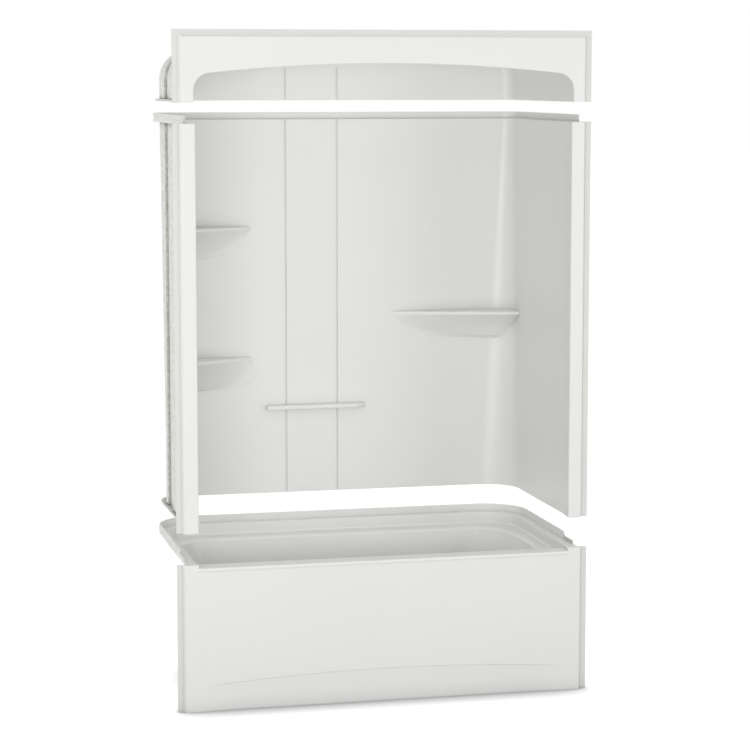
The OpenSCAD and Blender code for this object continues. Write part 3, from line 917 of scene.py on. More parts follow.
@dataclass(frozen=True)
class Bay:
    """The U-shaped plan of the alcove: two side walls, two round corners and a grooved back."""

    half: float = 692.5
    depth: float = 786.0
    low_turn: float = 130.0
    high_turn: float = 40.0
    groove_depth: float = 4.0
    groove: tuple[Flat, ...] = ((4.6, 0.0), (3.7, 0.1), (2.4, 0.9), (1.5, 1.0),
                                (-1.5, 1.0), (-2.4, 0.9), (-3.7, 0.1), (-4.6, 0.0))
    right_panel: tuple[float, ...] = (480.0, 360.0, 240.0, 120.0)
    grooves: tuple[tuple[float, tuple[float, ...]], ...] = (
        (-8.0, (-110.0,)), (-210.0, (-330.0, -440.0, -520.0)))
    side_steps: int = 10
    turn_steps: int = 20

    def back_line(self) -> Plan:
        """Places across the back wall, right to left, with how far each is into a groove.

        Returns:
            The places and shares.
        """
        line = [(x, 0.0) for x in self.right_panel]
        for place, panel in self.grooves:
            line += [(place + x, share) for x, share in self.groove] + [(x, 0.0) for x in panel]
        return line

    def path(self, out: float, turn: float, front: float, groove: float = 0.0,
             rear: float | None = None) -> Plan:
        """The plan from the right front round to the left front.

        Args:
            out: distance outside the inside faces.
            turn: corner radius of the inside faces.
            front: where the side walls start.
            groove: share of the groove's depth.
            rear: distance outside the back wall's inside face, or None where it is out.

        Returns:
            Points in order.
        """
        behind = self.depth + (out if rear is None else rear)
        x, y = self.half - turn, behind - turn - out
        side = [(self.half + out, v) for v in spaced(front, y, self.side_steps)[:-1]]
        side += oval((x, y), (turn + out,) * 2, 0.0, 90.0, self.turn_steps)
        back = [(v, behind + share * groove * self.groove_depth) for v, share in self.back_line()]
        return side + back + [(-v, w) for v, w in reversed(side)]


@dataclass(frozen=True)
class Strip:
    """Plan of the right-hand front column: face, slope, nailing flange and flared jamb."""

    edge: float = 690.0
    opening: float = 685.0
    face: float = 734.0
    slope: float = 742.0
    slope_under: float = 5.0
    slope_foot: tuple[Flat, ...] = ((1.0, 0.0), (-0.6, -1.4))
    flange: float = 762.0
    setback: float = 19.0
    skin: float = 6.0
    radius: float = 5.0
    wall: float = 692.5
    flare: float = 110.0
    rim: Edges = frozenset({0, 1})

    def shown(self, start: float) -> Plan:
        """The shown edge from the flange's end to the front face.

        Args:
            start: x at which the face is left.

        Returns:
            Points from the flange's outer end.
        """
        foot = [(self.slope + x, self.setback + y) for x, y in self.slope_foot]
        arc = oval((self.face - self.radius, self.radius), (self.radius, self.radius), 0.0, -90.0, 5)
        return [(self.flange, self.setback), *foot, *arc, (start, 0.0)]

    def jamb(self) -> Plan:
        """The rounded inner edge and the flare back to the side wall.

        Returns:
            The points after the front face.
        """
        r = self.radius
        arc = oval((self.opening + r, r), (r, r), -90.0, -180.0, 5)
        flare = [(self.opening + (self.wall - self.opening) * eased(t), r + (self.flare - r) * t)
                 for t in spaced(0.0, 1.0, 10)]
        return arc[1:] + flare[1:]

    def closed(self, shown: Plan, inner: Plan) -> tuple[Plan, Edges]:
        """Closes a plan behind its shown edge.

        Args:
            shown: the shown edge.
            inner: the hidden edge back to the flange.

        Returns:
            The outline and its hidden edges.
        """
        outline = [(self.flange, self.setback + self.skin), *shown, *inner]
        return outline, frozenset(range(len(shown) + 1, len(outline)))

    def under_face(self) -> Plan:
        """The hidden edge behind the face and the slope."""
        return [(self.face - self.skin, self.skin), (self.slope - self.slope_under, self.setback + self.skin)]

    def full(self, sunk: float = 0.0) -> tuple[Plan, Edges]:
        """The plan of a closed column end.

        Args:
            sunk: how far its back stays inside the face of the side wall.

        Returns:
            The outline and its edges that keep their line.
        """
        outer = self.wall + self.skin - sunk
        outline, _ = self.closed(self.shown(self.edge) + self.jamb(),
                                 [(outer, self.flare), (outer, self.setback + self.skin)])
        last = len(outline) - 1
        return outline, frozenset({0, last - 2, last - 1, last})

    def hollow(self, sunk: float = 0.0) -> tuple[Plan, Edges]:
        """The plan of the column between its ends, open at the back.

        Args:
            sunk: how far its back stays inside the face of the side wall.

        Returns:
            The outline and its hidden edges.
        """
        outer = self.wall + self.skin - sunk
        return self.closed(self.shown(self.edge) + self.jamb(),
                           [(outer, self.flare), (outer, self.skin), *self.under_face()])

    def outer(self, start: float) -> tuple[Plan, Edges]:
        """The plan of the flange, slope and rounded edge alone, and its hidden edges."""
        return self.closed(self.shown(start), [(start, self.skin), *self.under_face()])


@dataclass
class Section:
    """One lift-off section of the unit."""

    finishes: Finishes
    foot: float
    body: str
    height: float = 0.0
    skin: float = 6.0
    edge: float = 3.0
    bay: Bay = Bay()
    strip: Strip = Strip()
    upstand_skin: float = 6.0
    upstand_soft: float = 2.0
    lap: float = 28.5
    lap_rise: float = 3.0
    lap_skin: float = 5.0
    lap_soft: float = 1.5

    def shell(self, mould: Mould, name: str) -> Piece:
        """Writes a moulded shell, with a material for each side."""
        return mould.cast_piece(name, [self.finishes.acrylic, self.finishes.laminate, self.finishes.trim])

    def fit(self, piece: Piece, slot: Slot, *nodes: str) -> Piece:
        """Mounts a piece on this section's body.

        Args:
            piece: the piece.
            slot: the record's slot that it is finished from; not used.
            nodes: CAD nodes that it stands for.

        Returns:
            The piece.
        """
        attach(piece, self.body)
        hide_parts(*nodes)
        piece.modifiers.new("even_shading", "WEIGHTED_NORMAL").keep_sharp = True
        LOG.info("%s: %d faces, rides on %s", piece.name, len(piece.data.polygons), self.body)
        return piece

    def swept(self, mould: Mould, section: Plan, turn: float, front: float, side: Side, end: Side,
              hidden: int = 0) -> None:
        """Carries a section (out, z) round the alcove.

        Args:
            mould: the piece it is added to.
            section: its corners.
            turn: inside corner radius.
            front: where it starts on the side walls.
            side: side of its faces.
            end: side of its ends.
            hidden: how many of its first faces are on the hidden side.
        """
        rows = [level(self.bay.path(out, turn, front), z) for out, z in section]
        mould.sweep(rows, [Side.BACK] * hidden + [side] * (len(rows) - hidden), end)

    def lap_flange(self, mould: Mould, turn: float) -> None:
        """Adds the flange at the foot that laps over the section below.

        Args:
            mould: the piece it is added to.
            turn: inside corner radius.
        """
        low, high = self.lap_rise, self.lap_rise + self.lap_skin
        section = softened([(self.skin, low, 0.0), (self.lap, low, self.lap_soft),
                            (self.lap, high, self.lap_soft), (self.skin, high, 0.0)], 3)
        self.swept(mould, section, turn, self.strip.setback + self.skin, Side.BACK, Side.BACK)

    def joint(self, mould: Mould, turn: float, out: float, upstand: float, start: float) -> None:
        """Adds the ledge at the top and the upstand on its outer edge.

        Args:
            mould: the piece they are added to.
            turn: inside corner radius.
            out: their outer face.
            upstand: the upstand's height.
            start: where the upstand starts on the side walls.
        """
        top, under, inner = self.height, self.height - self.skin, out - self.upstand_skin
        self.swept(mould, [(self.skin, under), (out, under), (out, top), (self.skin, top)],
                   turn, self.strip.setback + self.skin, Side.SHOW, Side.SHOW)
        section = softened([(inner, top, 0.0), (out, top, 0.0), (out, top + upstand, self.upstand_soft),
                            (inner, top + upstand, self.upstand_soft)], 3)
        self.swept(mould, section, turn, start, Side.SHOW, Side.BACK, 2)


# ---- tub


@dataclass
class Tub(Section):
    """Apron, posts, front rim, deck, basin, joint ledge and stepped upstand."""

    height: float = 533.0
    rim: float = 521.0
    rim_width: float = 75.0
    rim_back: float = 30.0
    deck: float = 490.0
    floor: float = 90.0
    roll: float = 18.0
    left: float = -665.0
    right: float = 660.0
    front: float = 85.0
    back: float = 721.0
    corner: float = 115.0
    sweep_size: Flat = (130.0, 290.0)
    foot_left: float = -598.0
    foot_right: float = 470.0
    foot_front: float = 169.0
    foot_back: float = 637.0
    foot_shares: Point = (0.8, 1.15, 0.78)
    rounding: tuple[Flat, ...] = ((0.0, -24.0), (1.2, -16.0), (3.5, -8.0), (8.0, -1.5), (14.0, 4.0),
                                  (22.0, 9.0), (36.0, 14.0))
    fillet: float = 9.0
    sweep_pull: float = 0.9
    post_share: float = 0.99
    ledge_out: float = 36.5
    upstand: float = 28.5
    upstand_start: float = 70.0
    end_length: float = 104.0
    end_height: float = 13.0
    end_soft: float = 2.5
    toe: Arch = Arch(700.0, 121.0, 7700.0, 100.0, 0, 14, 48)
    toe_depth: float = 10.0
    toe_edge: float = 2.0
    toe_fade: float = 190.0
    toe_spread: float = 5.0
    toe_top: float = 133.0
    toe_steps: tuple[Flat, ...] = ((3.0, 0.0), (1.1, 0.09), (0.3, 0.35), (0.0, 0.62), (-0.6, 0.9))
    toe_inner: float = -2.4
    foot_return: float = 40.0
    plate_top: float = 500.0
    nosing: float = 8.0
    nosing_reach: float = 2.5
    nosing_ends: tuple[Flat, ...] = ((-697.0, -0.7), (-692.0, 0.9), (-686.0, 2.1), (-678.0, 2.5))
    nosing_foot: tuple[Flat, ...] = ((0.15, 1.2), (0.0, 2.8))
    drain: Flat = (-530.0, 403.0)
    drain_radius: float = 26.0
    overflow: Point = (-639.7, 403.0, 400.0)
    overflow_radius: float = 28.5
    pad_radius: float = 44.0
    pad_reach: float = 5.5
    pad_steps: tuple[Flat, ...] = ((2.0, 0.0), (0.6, 0.6), (0.0, 2.0))
    cut_lengths: Flat = (40.0, 50.0)
    cut_steps: int = 64
    sunk: float = 0.5

    def plan(self, box: tuple[float, float, float, float], corner: float, sweep: Flat) -> Plan:
        """A basin outline: round corners on the left, long swept ones on the right.

        Args:
            box: left, right, front and back.
            corner: radius of the left corners.
            sweep: run of the right corners along and across the tub.

        Returns:
            Points from the middle of the right end, anticlockwise from above.
        """
        x0, x1, y0, y1 = box
        along, across = sweep
        middle = (y0 + y1) / 2
        half = [(x1, y) for y in spaced(middle, y1 - across, 2)[:-1]]
        half += oval((x1 - along, y1 - across), sweep, 0.0, 90.0, 24)
        half += [(x, y1) for x in spaced(x1 - along, x0 + corner, 14)[1:-1]]
        half += oval((x0 + corner, y1 - corner), (corner, corner), 90.0, 180.0, 14)
        half += [(x0, y) for y in spaced(y1 - corner, middle, 3)[1:-1]]
        return half + [(x0, middle)] + [(x, 2 * middle - y) for x, y in reversed(half[1:])]

    def deck_plan(self, inwards: float) -> Plan:
        """The basin's outline at the deck, drawn in by some distance.

        Args:
            inwards: the distance.

        Returns:
            The outline.
        """
        box = (self.left + inwards, self.right - inwards, self.front + inwards, self.back - inwards)
        sweep = (self.sweep_size[0] - inwards / 2, self.sweep_size[1] - inwards)
        return self.plan(box, self.corner - inwards, sweep)

    def floor_plan(self, out: float) -> Plan:
        """The basin's outline near the floor, grown by some distance.

        Args:
            out: the distance.

        Returns:
            The outline.
        """
        corner, along, across = self.foot_shares
        box = (self.foot_left - out, self.foot_right + out, self.foot_front - out, self.foot_back + out)
        sweep = (self.sweep_size[0] * along + out, self.sweep_size[1] * across + out)
        return self.plan(box, self.corner * corner + out, sweep)

    def basin_rows(self, out: float) -> list[Row]:
        """Rings of the basin from the floor to the deck.

        Args:
            out: 0 for the inside, the skin for the outside.

        Returns:
            The rings.
        """
        rows = [level(self.floor_plan(out + grow), self.floor - out + up) for up, grow in self.rounding]
        roll, top = self.roll - out, self.deck - self.roll
        up, grow = self.rounding[-1]
        low, high, foot = self.floor_plan(out + grow), self.deck_plan(roll), self.floor - out + up
        for t in spaced(0.0, 1.0, 8)[1:-1]:
            rows.append([(a + (c - a) * t, b + (d - b) * t, foot + (top - foot) * t)
                         for (a, b), (c, d) in zip(low, high)])
        return rows + [level(self.deck_plan(roll * s), top + roll * c) for s, c in turned(90.0, 0.0, 8)]

    def rising(self, rim_ring: Plan, out: float) -> list[tuple[Flat, bool]]:
        """The alcove's outline with one point for each point of the basin's rim.

        Args:
            rim_ring: the basin's outline at the deck.
            out: distance outside the alcove's inside faces.

        Returns:
            Each point, and whether it is on the front line.
        """
        line = self.rim_width - out
        outline = self.bay.path(out, self.bay.low_turn, line)
        middle = (self.front + self.back) / 2
        found: Plan = []
        for x, y in rim_ring:
            x_in = min(max(x, self.left + self.corner), self.right - self.sweep_size[0])
            reach = self.corner if x < 0 else self.sweep_size[1]
            y_in = min(max(y, self.front + reach), self.back - reach)
            if x >= 0 and x > x_in:
                y_in = middle + (y_in - middle) * self.sweep_pull
            found.append(cast((x_in, y_in), (x, y), outline) if (x, y) != (x_in, y_in) else (x, y))
        for corner in ((self.bay.half + out, line), (-self.bay.half - out, line)):
            near = min(range(len(found)), key=lambda i: math.dist(found[i], corner))
            found[near] = corner
        return [(point, abs(point[1] - line) < 1e-3) for point in found]

    def liner(self, mould: Mould) -> None:
        """Adds basin, deck and the wall above the deck as one shell.

        Args:
            mould: the piece it is added to.
        """
        ring = self.deck_plan(0.0)
        rise = self.height - self.deck
        front_share = (self.rim - self.deck) / rise
        behind_posts = self.strip.flare + 1.0

        def wall(out: float, up: float) -> Row:
            """A ring of the rising wall; up is its height above the deck behind the posts."""
            return [(x, y, self.deck + up * (front_share if at_front else
                                             self.post_share if y < behind_posts else 1.0))
                    for (x, y), at_front in self.rising(ring, out)]

        rows = self.basin_rows(0.0)
        rows += [wall(-self.fillet * (1 - s), self.fillet * (1 - c)) for s, c in turned(0.0, 90.0, 4)]
        rows += [wall(self.edge * (1 - c), rise - self.edge * (1 - s)) for s, c in turned(0.0, 90.0, 4)]
        shown = len(rows)
        rows += [wall(self.skin, rise), wall(self.skin, -self.skin), *self.basin_rows(self.skin)[::-1]]
        sides = [Side.SHOW] * shown + [Side.BACK] * (len(rows) - shown)
        mould.stack(rows, sides, Side.SHOW, Side.BACK)

    def ledge(self, mould: Mould) -> None:
        """Adds the joint ledge and the upstand with its cut-down front ends.

        Args:
            mould: the piece it is added to.
        """
        low, high = self.upstand_start, self.upstand_start + self.end_length
        self.joint(mould, self.bay.low_turn, self.ledge_out, self.upstand, high)
        since = mould.so_far()
        outer = self.bay.half + self.ledge_out
        inner = outer - self.upstand_skin
        end = softened([(inner, low, self.end_soft), (outer, low, self.end_soft),
                        (outer, high, 0.0), (inner, high, 0.0)], 4)
        mould.prism(end, self.height, self.height + self.end_height, 0.0, self.upstand_soft, side=Side.BACK)
        mould.mirror(since)

    def recess(self, x: float, z: float) -> float:
        """Depth of the toe recess at a place on the front, which fades towards the recess's ends."""
        depth = self.toe_edge + (self.toe_depth - self.toe_edge) * max(0.0, 1 - z / self.toe.crown)
        return depth * eased(min(max((self.toe.half - abs(x)) / self.toe_fade, 0.0), 1.0))

    def apron(self, mould: Mould) -> None:
        """Adds the front plate with its shallow toe recess and the plate's foot return.

        Args:
            mould: the piece it is added to.
        """
        face = self.strip.face - self.strip.radius
        outer = self.toe.frame(face, self.toe_top)
        line, beside = self.toe.line(0.0), self.toe.line(1.0)
        spreads = self.toe.spreads(self.toe_spread)
        widest = self.toe_steps[0][0]

        def at(out: float) -> Plan:
            """The arch moved outwards, with an edge that widens at its ends."""
            moves = [widest - (widest - out) * spread for spread in spreads]
            return [(x + (bx - x) * m, max(z + (bz - z) * m, 0.0))
                    for (x, z), (bx, bz), m in zip(line, beside, moves)]

        rows: list[Row] = [upright(outer, 0.0)]
        for out, share in self.toe_steps:
            rows.append([(x, self.recess(*place) * share, z) for (x, z), place in zip(at(out), line)])
        inner = at(self.toe_inner)
        back = self.skin + self.toe_depth
        rows += [[(x, self.recess(x, z), z) for x, z in inner],
                 [(x, self.recess(x, 0.0), 0.0) for x, _ in inner],
                 [(x, back, 0.0) for x, _ in inner], upright(outer, back)]
        mould.sweep(rows, [Side.SHOW] * (len(rows) - 3) + [Side.BACK] * 3, Side.BACK)
        mould.block((-face, 0.0, self.toe_top), (face, self.skin, self.plate_top), Side.SHOW)
        mould.block((-face, back, 0.0), (face, self.foot_return, self.skin), Side.BACK)

    def front_rim(self, mould: Mould) -> None:
        """Adds the rim top and the rolled nosing, which dies into the posts.

        Args:
            mould: the piece it is added to.
        """
        top, r, reach = self.rim, self.nosing, self.nosing_reach
        meet = math.degrees(math.asin((r - reach) / r))
        last = self.nosing_ends[-1][0]
        places = [*self.nosing_ends, *((x, reach) for x in spaced(last, -last, 20)[1:-1]),
                  *((-x, out) for x, out in reversed(self.nosing_ends))]
        hidden = [(x, 0.0 if out > reach - self.sunk else self.sunk) for x, out in places]
        under, behind = top - self.skin, self.rim_width - self.skin

        def across(y: float, z: float) -> Row:
            """A line across the tub."""
            return [(x, y, z) for x, _ in places]

        rows = [across(behind, under), across(behind, top), across(self.rim_back, top)]
        for s, c in turned(90.0, 180.0 + meet, 10):
            rows.append([(x, max(r - out + r * c, -out), top - r + r * s) for x, out in places])
        low = top - r - r * math.sin(math.radians(meet))
        rows += [[(x, out + y, low - down) for x, y in hidden] for out, down in self.nosing_foot]
        rows += [[(x, y, self.plate_top) for x, y in hidden], across(self.skin, self.plate_top),
                 across(self.skin, under)]
        mould.sweep(rows, [Side.SHOW] * (len(rows) - 3) + [Side.BACK] * 3)

    def posts(self, mould: Mould) -> None:
        """Adds the two posts: flange, slope, rounded edges, jamb and closed top.

        Args:
            mould: the piece it is added to.
        """
        since = mould.so_far()
        strip, under = self.strip, self.height - self.skin
        outline, hidden = strip.outer(strip.face - strip.radius)
        mould.prism(outline, 0.0, self.plate_top, back=hidden, trim=strip.rim)
        outline, hidden = strip.hollow(self.sunk)
        mould.prism(outline, self.plate_top, under, back=hidden, trim=strip.rim)
        outline, firm = strip.full(self.sunk)
        mould.prism(outline, under, self.height, 0.0, self.edge, firm, trim=strip.rim)
        outer = self.bay.half + self.skin - self.sunk
        jamb = [(x, y) for x, y in strip.jamb() if y > self.skin]
        mould.prism([(strip.edge, self.skin), (strip.opening + 0.1, self.skin), *jamb, (outer, strip.flare),
                     (outer, self.skin)], self.deck - self.skin, self.plate_top)
        mould.mirror(since)

    def pad(self, mould: Mould) -> None:
        """Adds the flat pad that the overflow fitting clamps.

        Args:
            mould: the piece it is added to.
        """
        x, y, z = self.overflow
        reach = self.skin / 2 + self.pad_reach
        levels = [(-reach, self.pad_radius), *((reach - back, self.pad_radius - less)
                                               for back, less in self.pad_steps)]
        rows = [[(x - self.skin / 2 + out, y + b, z + a) for a, b in oval((0.0, 0.0), (r, r), 0.0, 352.5, 47)]
                for out, r in levels]
        mould.stack(rows, [Side.SHOW] * len(rows), Side.BACK, Side.SHOW)

    def bored(self, mould: Mould, piece: Piece) -> None:
        """Cuts the drain hole and the overflow hole through the basin.

        Args:
            mould: the mould that the basin came from.
            piece: the basin with its pad.
        """
        x, y, z = self.overflow
        drain_length, side_length = self.cut_lengths
        for name, centre, radius, length, turn in (
                ("drain_cut", (*self.drain, self.floor), self.drain_radius, drain_length, 0.0),
                ("overflow_cut", (x - self.skin / 2, y, z), self.overflow_radius, side_length, math.pi / 2)):
            shop = bmesh.new()
            bmesh.ops.create_cone(shop, cap_ends=True, segments=self.cut_steps, radius1=radius * MM,
                                  radius2=radius * MM, depth=length * MM)
            cutter = placed(name, written(shop, name))
            cutter.location = mould.world(*centre)
            cutter.rotation_euler = (0.0, turn, 0.0)
            cut = piece.modifiers.new(name, "BOOLEAN")
            cut.object = cutter
            cut.operation = "DIFFERENCE"
            cut.solver = "EXACT"
            bpy.context.view_layer.update()
            shaped = piece.evaluated_get(bpy.context.evaluated_depsgraph_get())
            mesh = bpy.data.meshes.new_from_object(shaped)
            piece.modifiers.remove(cut)
            piece.data = mesh
            bpy.data.objects.remove(cutter)

    def build(self) -> Piece:
        """Builds the tub shell and returns it.

        Returns:
            The shell.
        """
        hollow, mould = Mould(self.foot), Mould(self.foot)
        self.liner(hollow)
        self.pad(hollow)
        basin = self.shell(hollow, "tub_basin")
        self.bored(hollow, basin)
        for part in (self.ledge, self.apron, self.front_rim, self.posts):
            part(mould)
        piece = self.shell(mould, "tub_moulding")
        shop = bmesh.new()
        shop.from_mesh(piece.data)
        shop.from_mesh(basin.data)
        shop.to_mesh(piece.data)
        shop.free()
        bpy.data.objects.remove(basin)
        piece.data.set_sharp_from_angle(angle=SMOOTH_BELOW)
        return self.fit(piece, Slot.ACRYLIC, "tub_shell")


# ---- wall section


@dataclass
class Shelf:
    """A corner shelf: flat top, rounded lip and a bowl that runs down into the corner."""

    name: str
    node: str
    top: float
    along: float
    aside: float
    bow: float
    depth: float
    fullness: float
    left: bool
    tuck: float = 1.8
    lip: float = 12.0
    radius: float = 3.5
    grown: float = 1.6
    crease: float = 0.6
    end: Flat = (112.0, 20.0)
    tip: tuple[Point, ...] = ((46.0, 15.0, 9.0), (18.0, 6.0, 3.0))
    blend: float = 4.0
    sunk: float = 2.0
    past_ends: Flat = (2.2, 2.5)
    least_aside: float = 30.0
    front_steps: int = 34
    wall_steps: int = 12

    def ring(self, bay: Bay, size: Point, z: float, turn: float, soft: float) -> Row:
        """One level of the shelf.

        Args:
            bay: plan of the alcove.
            size: length on the back wall, length on the side wall and bow of the front.
            z: height.
            turn: corner radius of the walls there.
            soft: size of the fillet against the walls.

        Returns:
            The ring, held inside the wall's skin.
        """
        half, depth, sunk = bay.half, bay.depth, self.sunk
        along, aside, bow = size
        first, last = self.past_ends
        front = []
        for t in spaced(-first * soft / max(aside, self.least_aside), 1.0 + last * soft / along,
                        self.front_steps):
            front.append((half - soft_rise(along * (1 - t), soft),
                          depth - soft_rise(aside * t + bow * 4 * t * (1 - t), soft)))
        front[0] = (front[0][0], depth + sunk)
        front[-1] = (half + sunk, front[-1][1])
        side = [(half + sunk, y) for y in spaced(front[-1][1], depth + sunk, self.wall_steps)[1:]]
        back = [(x, depth + sunk) for x in spaced(half + sunk, front[0][0], self.wall_steps)[1:-1]]
        ring = []
        for x, y in front + side + back:
            dx, dy = x - (half - turn), y - (depth - turn)
            if dx > 0 and dy > 0 and math.hypot(dx, dy) > turn + sunk:
                pull = (turn + sunk) / math.hypot(dx, dy)
                x, y = half - turn + dx * pull, depth - turn + dy * pull
            ring.append((-x if self.left else x, y, z))
        return ring

    def build(self, section: "WallSection") -> Piece:
        """Builds the shelf on its section.

        Args:
            section: the wall section that carries it.

        Returns:
            The shelf.
        """
        under = self.top - self.lip
        first, second = self.end
        levels = [((first - a, second - b, 0.0), under - self.depth - down, self.blend)
                  for a, b, down in self.tip]
        for s, share in turned(88.0, 0.0, 20):
            fall = s ** self.fullness
            size = (first + (self.along - first) * share,
                    second + (self.aside - second) * (1 - fall) ** self.tuck, self.bow * share)
            levels.append((size, under - self.depth * fall,
                           self.crease + (self.blend - self.crease) * min(1.0, 3 * fall)))
        heights = [(self.grown, under + self.grown), (self.grown, self.top - self.radius)]
        heights += [(self.grown - self.radius * (1 - c), self.top - self.radius * (1 - s))
                    for s, c in turned(20.0, 90.0, 4)]
        levels += [((self.along + out, self.aside + out, self.bow), z, self.crease) for out, z in heights]
        rows = [self.ring(section.bay, size, z, section.turn(z), soft) for size, z, soft in levels]
        mould = Mould(section.foot)
        mould.stack(rows, [Side.SHOW] * len(rows), Side.SHOW, Side.SHOW)
        return section.fit(mould.cast_piece(self.name, [section.finishes.acrylic]), Slot.ACRYLIC, self.node)


@dataclass(frozen=True)
class Bar:
    """The ledge-like bar on the back wall, blunt on the left and drawn back on the right."""

    left: float = -291.0
    right: float = 107.0
    top: float = 344.0
    thick: float = 16.0
    reach: float = 36.0
    corner: float = 7.0
    taper: float = 52.0
    curve: Flat = (1.6, 0.6)
    sunk: float = 1.0
    soft: float = 4.5

    def build(self, section: "WallSection") -> Piece:
        """Builds the bar on its section.

        Args:
            section: the wall section that carries it.

        Returns:
            The bar.
        """
        wall, r, (full, less) = section.bay.depth, self.corner, self.curve
        front = wall - self.reach
        taper = [(self.right - self.taper * (1 - t), front + self.reach * (t * t * (full - less * t)))
                 for t in spaced(0.0, 1.0, 12)]
        outline = [*oval((self.left + r, front + r), (r, r), 180.0, 270.0, 6), *taper,
                   (self.right, wall + self.sunk), (self.left, wall + self.sunk)]
        firm = frozenset({len(outline) - 3, len(outline) - 2})
        mould = Mould(section.foot)
        mould.prism(outline, self.top - self.thick, self.top, self.soft, self.soft, firm)
        return section.fit(mould.cast_piece("accessory_ledge", [section.finishes.acrylic]),
                           Slot.ACRYLIC, "accessory_bar")


@dataclass
class WallSection(Section):
    """Walls with tapering corners, two front columns, lap flange, top ledge and upstand."""

    height: float = 1446.0
    ledge_out: float = 30.0
    upstand: float = 26.0
    upstand_start: float = 34.0
    wall_steps: int = 12
    shelves: tuple[Shelf, ...] = (
        Shelf("right_corner_shelf", "right_shelf", top=698.0, along=485.0, aside=124.0, bow=16.0,
              depth=94.0, fullness=1.4, left=False),
        Shelf("lower_left_shelf", "low_left_shelf", top=533.0, along=348.0, aside=168.0, bow=10.0,
              depth=112.0, fullness=0.8, left=True),
        Shelf("upper_left_shelf", "high_left_shelf", top=1036.0, along=348.0, aside=168.0, bow=10.0,
              depth=105.0, fullness=2.2, left=True))
    bar: Bar = Bar()

    def turn(self, z: float) -> float:
        """Corner radius of the inside faces at a height."""
        return self.bay.low_turn + (self.bay.high_turn - self.bay.low_turn) * z / self.height

    def walls(self, mould: Mould) -> None:
        """Adds the side walls, corners and grooved back wall as one skin.

        Args:
            mould: the piece it is added to.
        """
        edge, top = self.edge, self.height
        levels = [(edge * (1 - s), edge * (1 - c), 1.0) for s, c in turned(0.0, 90.0, 4)]
        levels += [(0.0, z, 1.0) for z in spaced(edge, top - edge, self.wall_steps)[1:-1]]
        levels += [(edge * (1 - c), top - edge * (1 - s), 1 - s) for s, c in turned(0.0, 90.0, 4)]
        sides = [Side.SHOW] * len(levels) + [Side.BACK] * self.wall_steps + [Side.SHOW]
        levels += [(self.skin, z, 0.0) for z in spaced(top, 0.0, self.wall_steps)]
        rows = [level(self.bay.path(out, self.turn(z), self.strip.flare, groove), z)
                for out, z, groove in levels]
        mould.sweep(rows, sides)

    def columns(self, mould: Mould) -> None:
        """Adds the two front columns with their closed ends.

        Args:
            mould: the piece it is added to.
        """
        since = mould.so_far()
        strip, under = self.strip, self.height - self.skin
        full, firm = strip.full()
        hollow, hidden = strip.hollow()
        mould.prism(full, 0.0, self.skin, self.edge, 0.0, firm, trim=strip.rim)
        mould.prism(hollow, self.skin, under, back=hidden, trim=strip.rim)
        mould.prism(full, under, self.height, 0.0, self.edge, firm, trim=strip.rim)
        mould.mirror(since)

    def build(self) -> list[Piece]:
        """Builds the wall shell, the shelves and the bar, and returns them.

        Returns:
            The pieces.
        """
        mould = Mould(self.foot)
        self.walls(mould)
        self.lap_flange(mould, self.bay.low_turn)
        self.joint(mould, self.bay.high_turn, self.ledge_out, self.upstand, self.upstand_start)
        self.columns(mould)
        shell = self.fit(self.shell(mould, "wall_moulding"), Slot.ACRYLIC, "wall_shell")
        return [shell, *(shelf.build(self) for shelf in self.shelves), self.bar.build(self)]


# ---- header


